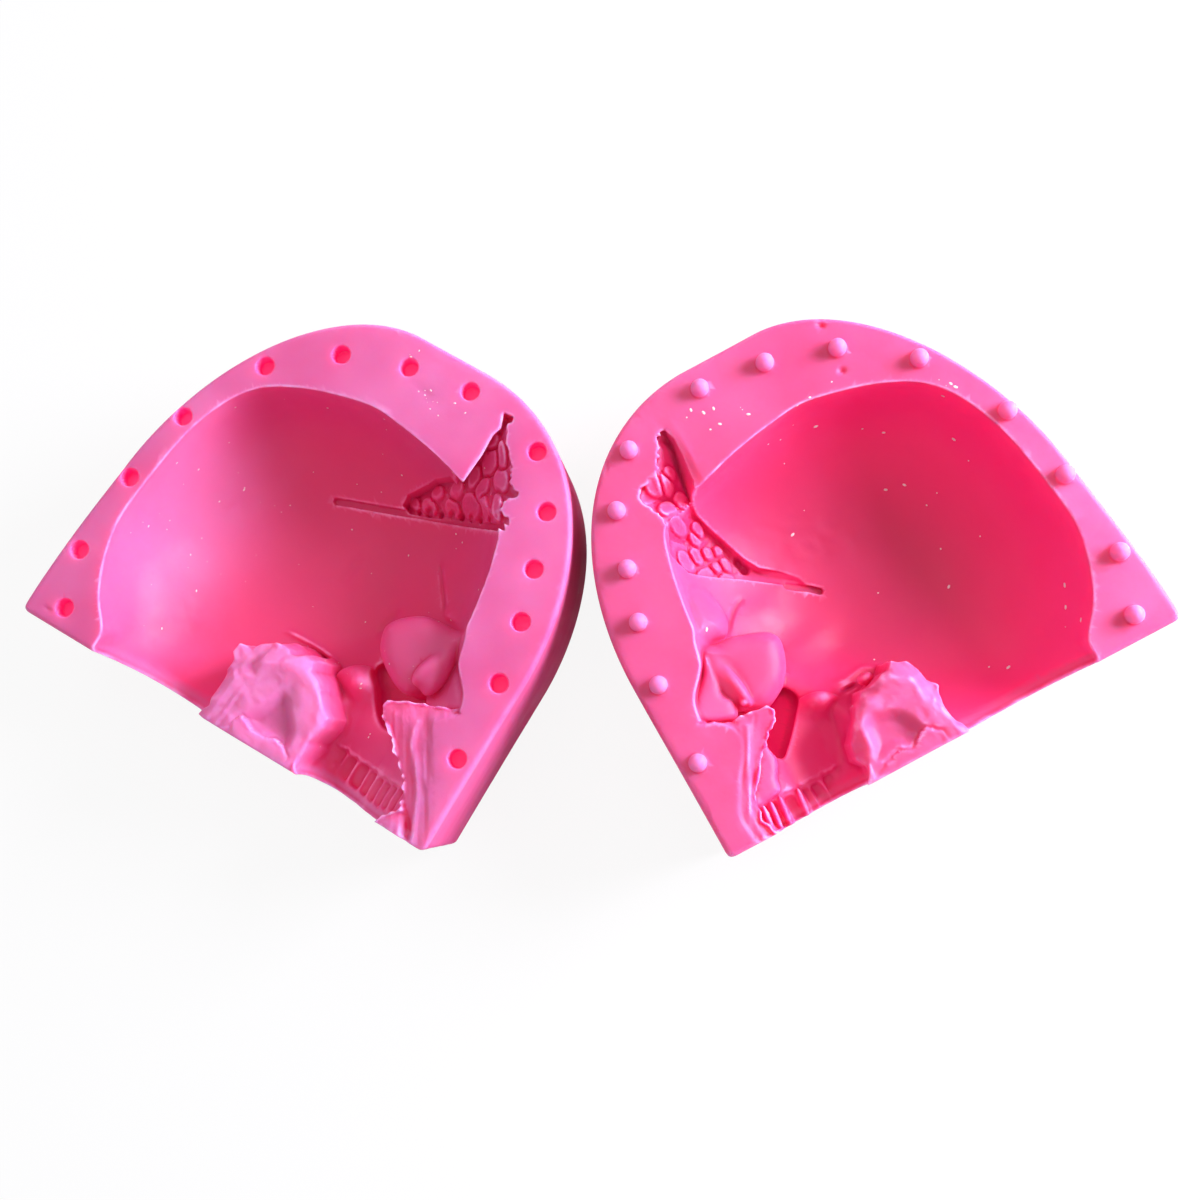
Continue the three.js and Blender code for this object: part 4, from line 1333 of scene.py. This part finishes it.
def build_speck_nodes():
    """Specks scattered over a surface: denser where a mask is high, flat on it and turned at random."""
    tree = bpy.data.node_groups.new("Scattered specks", "GeometryNodeTree")
    add_sockets(tree, "INPUT", {
        "Surface": "Geometry", "Density": "Float", "Speck size": "Float", "Seed": "Int",
        "Material": "Material",
    })
    add_sockets(tree, "OUTPUT", {"Specks": "Geometry"})
    inlet, outlet = tree.nodes.new("NodeGroupInput"), tree.nodes.new("NodeGroupOutput")
    given = inlet.outputs
    mask = node(tree, "GeometryNodeInputNamedAttribute", {"Name": "dusty"}, data_type="FLOAT")
    spread = node(tree, "GeometryNodeDistributePointsOnFaces", {
        "Mesh": given["Surface"], "Seed": given["Seed"],
        "Density": maths(tree, "MULTIPLY", mask.outputs["Attribute"], given["Density"]),
    })
    speck = node(tree, "GeometryNodeMeshIcoSphere", {"Radius": 0.5, "Subdivisions": 1})
    size = node(tree, "FunctionNodeRandomValue", {2: 0.5, 3: 1.6}, data_type="FLOAT")
    wide = node(tree, "FunctionNodeRandomValue", {2: 0.7, 3: 1.5}, data_type="FLOAT")
    squash = node(tree, "ShaderNodeCombineXYZ", {"X": wide.outputs[1], "Y": 0.8, "Z": 0.35})
    shape = node(tree, "ShaderNodeVectorMath", {
        0: squash.outputs["Vector"], "Scale": maths(tree, "MULTIPLY", size.outputs[1], given["Speck size"]),
    }, operation="SCALE")
    specks = node(tree, "GeometryNodeInstanceOnPoints", {
        "Points": spread.outputs["Points"], "Instance": speck.outputs["Mesh"],
        "Rotation": spread.outputs["Rotation"], "Scale": shape.outputs["Vector"],
    })
    real = node(tree, "GeometryNodeRealizeInstances", {"Geometry": specks.outputs["Instances"]})
    tint = node(tree, "GeometryNodeSetMaterial", {
        "Geometry": real.outputs["Geometry"], "Material": given["Material"],
    })
    feed(tree, outlet, {"Specks": tint.outputs["Geometry"]})
    return tree


def dusty_share(local, half):
    """Where dust lies: thinly in the hollow, thickly at a few spots of the parting face."""
    u, v, w = local[:, 0], local[:, 1], local[:, 2]
    wall = outline_distance(block_outline(), u, v)
    hollow = inner_share(wall, w) * ease(-4, -14, w) * ease(1.0, 8.0, v) * half["dust"]
    spots = np.zeros(len(u))
    for at, (su, sv, ru, rv) in CRUMB_SPOTS[half["name"]]:
        spots = np.maximum(spots, at * egg_spot(u, v, su, sv, ru, rv))
    return hollow + spots * (np.abs(w) < 0.6)


# Crumbs on the parting face: how thickly they lie, then middle and reach
CRUMB_SPOTS = {
    "socket_half": (
        (45, (-6, 126.5, 3.5, 1.2)), (60, (0, 118.5, 3.2, 1.6)), (60, (6, 116, 2.6, 1.4)),
        (60, (13.6, 116.6, 2.4, 1.4)), (25, (7.5, 120, 1, 1)), (16, (-26, 100, 6, 2)),
    ),
    "peg_half": (
        (12, (-5, 126.8, 4.5, 1)), (90, (4.2, 114, 1.2, 1.2)), (110, (16.4, 118, 1.8, 1.8)),
        (90, (17.6, 115, 1.4, 1.4)), (18, (-50, 92, 4, 3)), (16, (-20, 106, 9, 1.2)),
    ),
}


def build_dust(half):
    sizes, colours, stage = settings()
    surface = bpy.data.objects[half["name"] + "_silicone"]
    mesh = surface.data.copy()
    flat = np.empty(3 * len(mesh.vertices), np.float32)
    mesh.vertices.foreach_get("co", flat)
    local = own_frame(flat.reshape(-1, 3).astype(np.float64), half, sizes.half_thickness)
    mask = mesh.attributes.new("dusty", "FLOAT", "POINT")
    mask.data.foreach_set("value", dusty_share(local, half).astype(np.float32))
    name = half["name"] + "_dust"
    source = new_object(name + "_source", mesh)
    tree = bpy.data.node_groups.get("Scattered specks") or build_speck_nodes()
    made = source.modifiers.new("specks", "NODES")
    made.node_group = tree
    values = {
        "Density": stage.dust_density, "Speck size": sizes.speck_size * half["speck"],
        "Seed": stage.dust_seed + half["seed"],
        "Material": dust_material(name, tuple(colours.dust)),
    }
    for socket in tree.interface.items_tree:
        if socket.in_out == "INPUT" and socket.name in values:
            made[socket.identifier] = values[socket.name]
    source.update_tag()
    bpy.context.view_layer.update()
    shown = source.evaluated_get(bpy.context.evaluated_depsgraph_get())
    baked = bpy.data.meshes.new_from_object(shown)
    bpy.data.objects.remove(source)
    piece = new_object(name, baked)
    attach(piece, half["name"])
    return piece


class MOULD_OT_socket_half(bpy.types.Operator):
    """Sculpt the half with the key sockets"""

    bl_idname = "mould.socket_half"
    bl_label = "Socket half"

    def execute(self, context):
        build_half(SOCKET_HALF)
        return {"FINISHED"}


class MOULD_OT_peg_half(bpy.types.Operator):
    """Sculpt the half with the registration pegs"""

    bl_idname = "mould.peg_half"
    bl_label = "Peg half"

    def execute(self, context):
        build_half(PEG_HALF)
        return {"FINISHED"}


class MOULD_OT_dust(bpy.types.Operator):
    """Scatter the dust and crumbs over both halves"""

    bl_idname = "mould.dust"
    bl_label = "Dust"

    def execute(self, context):
        for half in (SOCKET_HALF, PEG_HALF):
            build_dust(half)
        return {"FINISHED"}


CAMERA_AT = (40.06, -58.78, 431.19)
CAMERA_TILT = (-7.875, -4.981, -0.371)
CAMERA_FOCAL = 1323.4
KEY_LAMP = {"at": (0.62, 0.22, 0.34), "size": 0.40, "colour": (0.88, 0.86, 1.0)}
FILL_LAMP = {"at": (-0.2, 0.4, 0.9), "size": 0.9, "colour": (1.0, 1.0, 1.0)}
LAMP_AIM = (0.0, 0.0, 0.03)


def turn_matrix(rx, ry, rz):
    cx, sx, cy, sy, cz, sz = (f(math.radians(a)) for a in (rx, ry, rz) for f in (math.cos, math.sin))
    about_x = np.array([[1, 0, 0], [0, cx, -sx], [0, sx, cx]])
    about_y = np.array([[cy, 0, sy], [0, 1, 0], [-sy, 0, cy]])
    about_z = np.array([[cz, -sz, 0], [sz, cz, 0], [0, 0, 1]])
    return about_z @ about_y @ about_x


def soft_lamp(name, lamp, power):
    light = bpy.data.lights.new(name, "AREA")
    light.shape = "DISK"
    light.size = lamp["size"]
    light.energy = power
    light.color = lamp["colour"]
    shown = new_object(name, light)
    shown.location = lamp["at"]
    shown.rotation_euler = (Vector(LAMP_AIM) - Vector(lamp["at"])).to_track_quat("-Z", "Y").to_euler()


def seen_directly(tree):
    """1 where the camera sees a place itself, in a reflection or through something clear."""
    seen = tree.nodes.new("ShaderNodeLightPath").outputs
    either = maths(tree, "MAXIMUM", seen["Is Camera Ray"], seen["Is Glossy Ray"])
    return maths(tree, "MAXIMUM", either, seen["Is Transmission Ray"])


def blend_shaders(tree, out, share, below, above):
    mix = tree.nodes.new("ShaderNodeMixShader")
    feed(tree, mix, {"Fac": share, 1: below, 2: above})
    feed(tree, out, {"Surface": mix.outputs["Shader"]})


FLOOR_REACH = 3.0
FLOOR_GAP = 0.0004
FLOOR_GLOW = 0.9


def pale_floor():
    mesh = bpy.data.meshes.new("floor")
    r, z = FLOOR_REACH, -FLOOR_GAP
    mesh.from_pydata([(-r, -r, z), (r, -r, z), (r, r, z), (-r, r, z)], [], [(0, 1, 2, 3)])
    material, tree, out = new_material("floor")
    paint = node(tree, "ShaderNodeBsdfDiffuse", {"Color": (0.9, 0.9, 0.9, 1)})
    glow = node(tree, "ShaderNodeEmission", {"Color": (1, 1, 1, 1), "Strength": 1.0})
    share = maths(tree, "MULTIPLY", seen_directly(tree), FLOOR_GLOW)
    blend_shaders(tree, out, share, paint.outputs["BSDF"], glow.outputs["Emission"])
    mesh.materials.append(material)
    new_object("floor", mesh)


def even_room(strength):
    world = bpy.data.worlds.new("room")
    world.use_nodes = True
    tree = world.node_tree
    tree.nodes.clear()
    out = tree.nodes.new("ShaderNodeOutputWorld")
    even = node(tree, "ShaderNodeBackground", {"Color": (1, 0.97, 0.98, 1), "Strength": strength})
    white = node(tree, "ShaderNodeBackground", {"Color": (1, 1, 1, 1), "Strength": 1.0})
    blend_shaders(tree, out, seen_directly(tree), even.outputs["Background"], white.outputs["Background"])
    bpy.context.scene.world = world


def set_camera():
    eye = bpy.data.cameras.new("camera")
    eye.sensor_width = 36.0
    eye.lens = 36.0 * CAMERA_FOCAL / 1200
    eye.clip_start = 0.01
    shown = new_object("camera", eye)
    rx, ry, rz = CAMERA_TILT
    world_to_eye = turn_matrix(rx, ry, 0) @ turn_matrix(0, 0, rz)
    matrix = np.eye(4)
    matrix[:3, :3] = world_to_eye.T
    matrix[:3, 3] = np.array(CAMERA_AT) * MM
    shown.matrix_world = Matrix(matrix.tolist())
    bpy.context.scene.camera = shown


class MOULD_OT_stage(bpy.types.Operator):
    """Lay the pale floor, hang the lamps and set the camera"""

    bl_idname = "mould.stage"
    bl_label = "Stage"

    def execute(self, context):
        _, _, stage = settings()
        pale_floor()
        even_room(stage.room_light)
        soft_lamp("key lamp", KEY_LAMP, stage.key_power)
        soft_lamp("fill lamp", FILL_LAMP, stage.fill_power)
        set_camera()
        context.scene.view_settings.view_transform = "Standard"
        return {"FINISHED"}


class MOULD_PT_panel(bpy.types.Panel):
    bl_idname = "MOULD_PT_panel"
    bl_label = "Skull mould"
    bl_space_type = "VIEW_3D"
    bl_region_type = "UI"
    bl_category = "Skull mould"

    def draw(self, context):
        for operator in STEPS:
            self.layout.operator(operator.bl_idname)
        for group in settings():
            for name in group.__annotations__:
                self.layout.prop(group, name)


STEPS = (MOULD_OT_socket_half, MOULD_OT_peg_half, MOULD_OT_dust, MOULD_OT_stage)
GROUPS = (MouldSizes, MouldColours, StageSettings)


def register():
    for made in GROUPS + STEPS + (MOULD_PT_panel,):
        bpy.utils.register_class(made)
    bpy.types.Scene.mould_sizes = PointerProperty(type=MouldSizes)
    bpy.types.Scene.mould_colours = PointerProperty(type=MouldColours)
    bpy.types.Scene.mould_stage = PointerProperty(type=StageSettings)


def unregister():
    del bpy.types.Scene.mould_sizes
    del bpy.types.Scene.mould_colours
    del bpy.types.Scene.mould_stage
    for made in reversed(GROUPS + STEPS + (MOULD_PT_panel,)):
        bpy.utils.unregister_class(made)


def main():
    register()
    bpy.ops.mould.socket_half()
    bpy.ops.mould.peg_half()
    bpy.ops.mould.dust()
    bpy.ops.mould.stage()


if __name__ == "__main__":
    main()
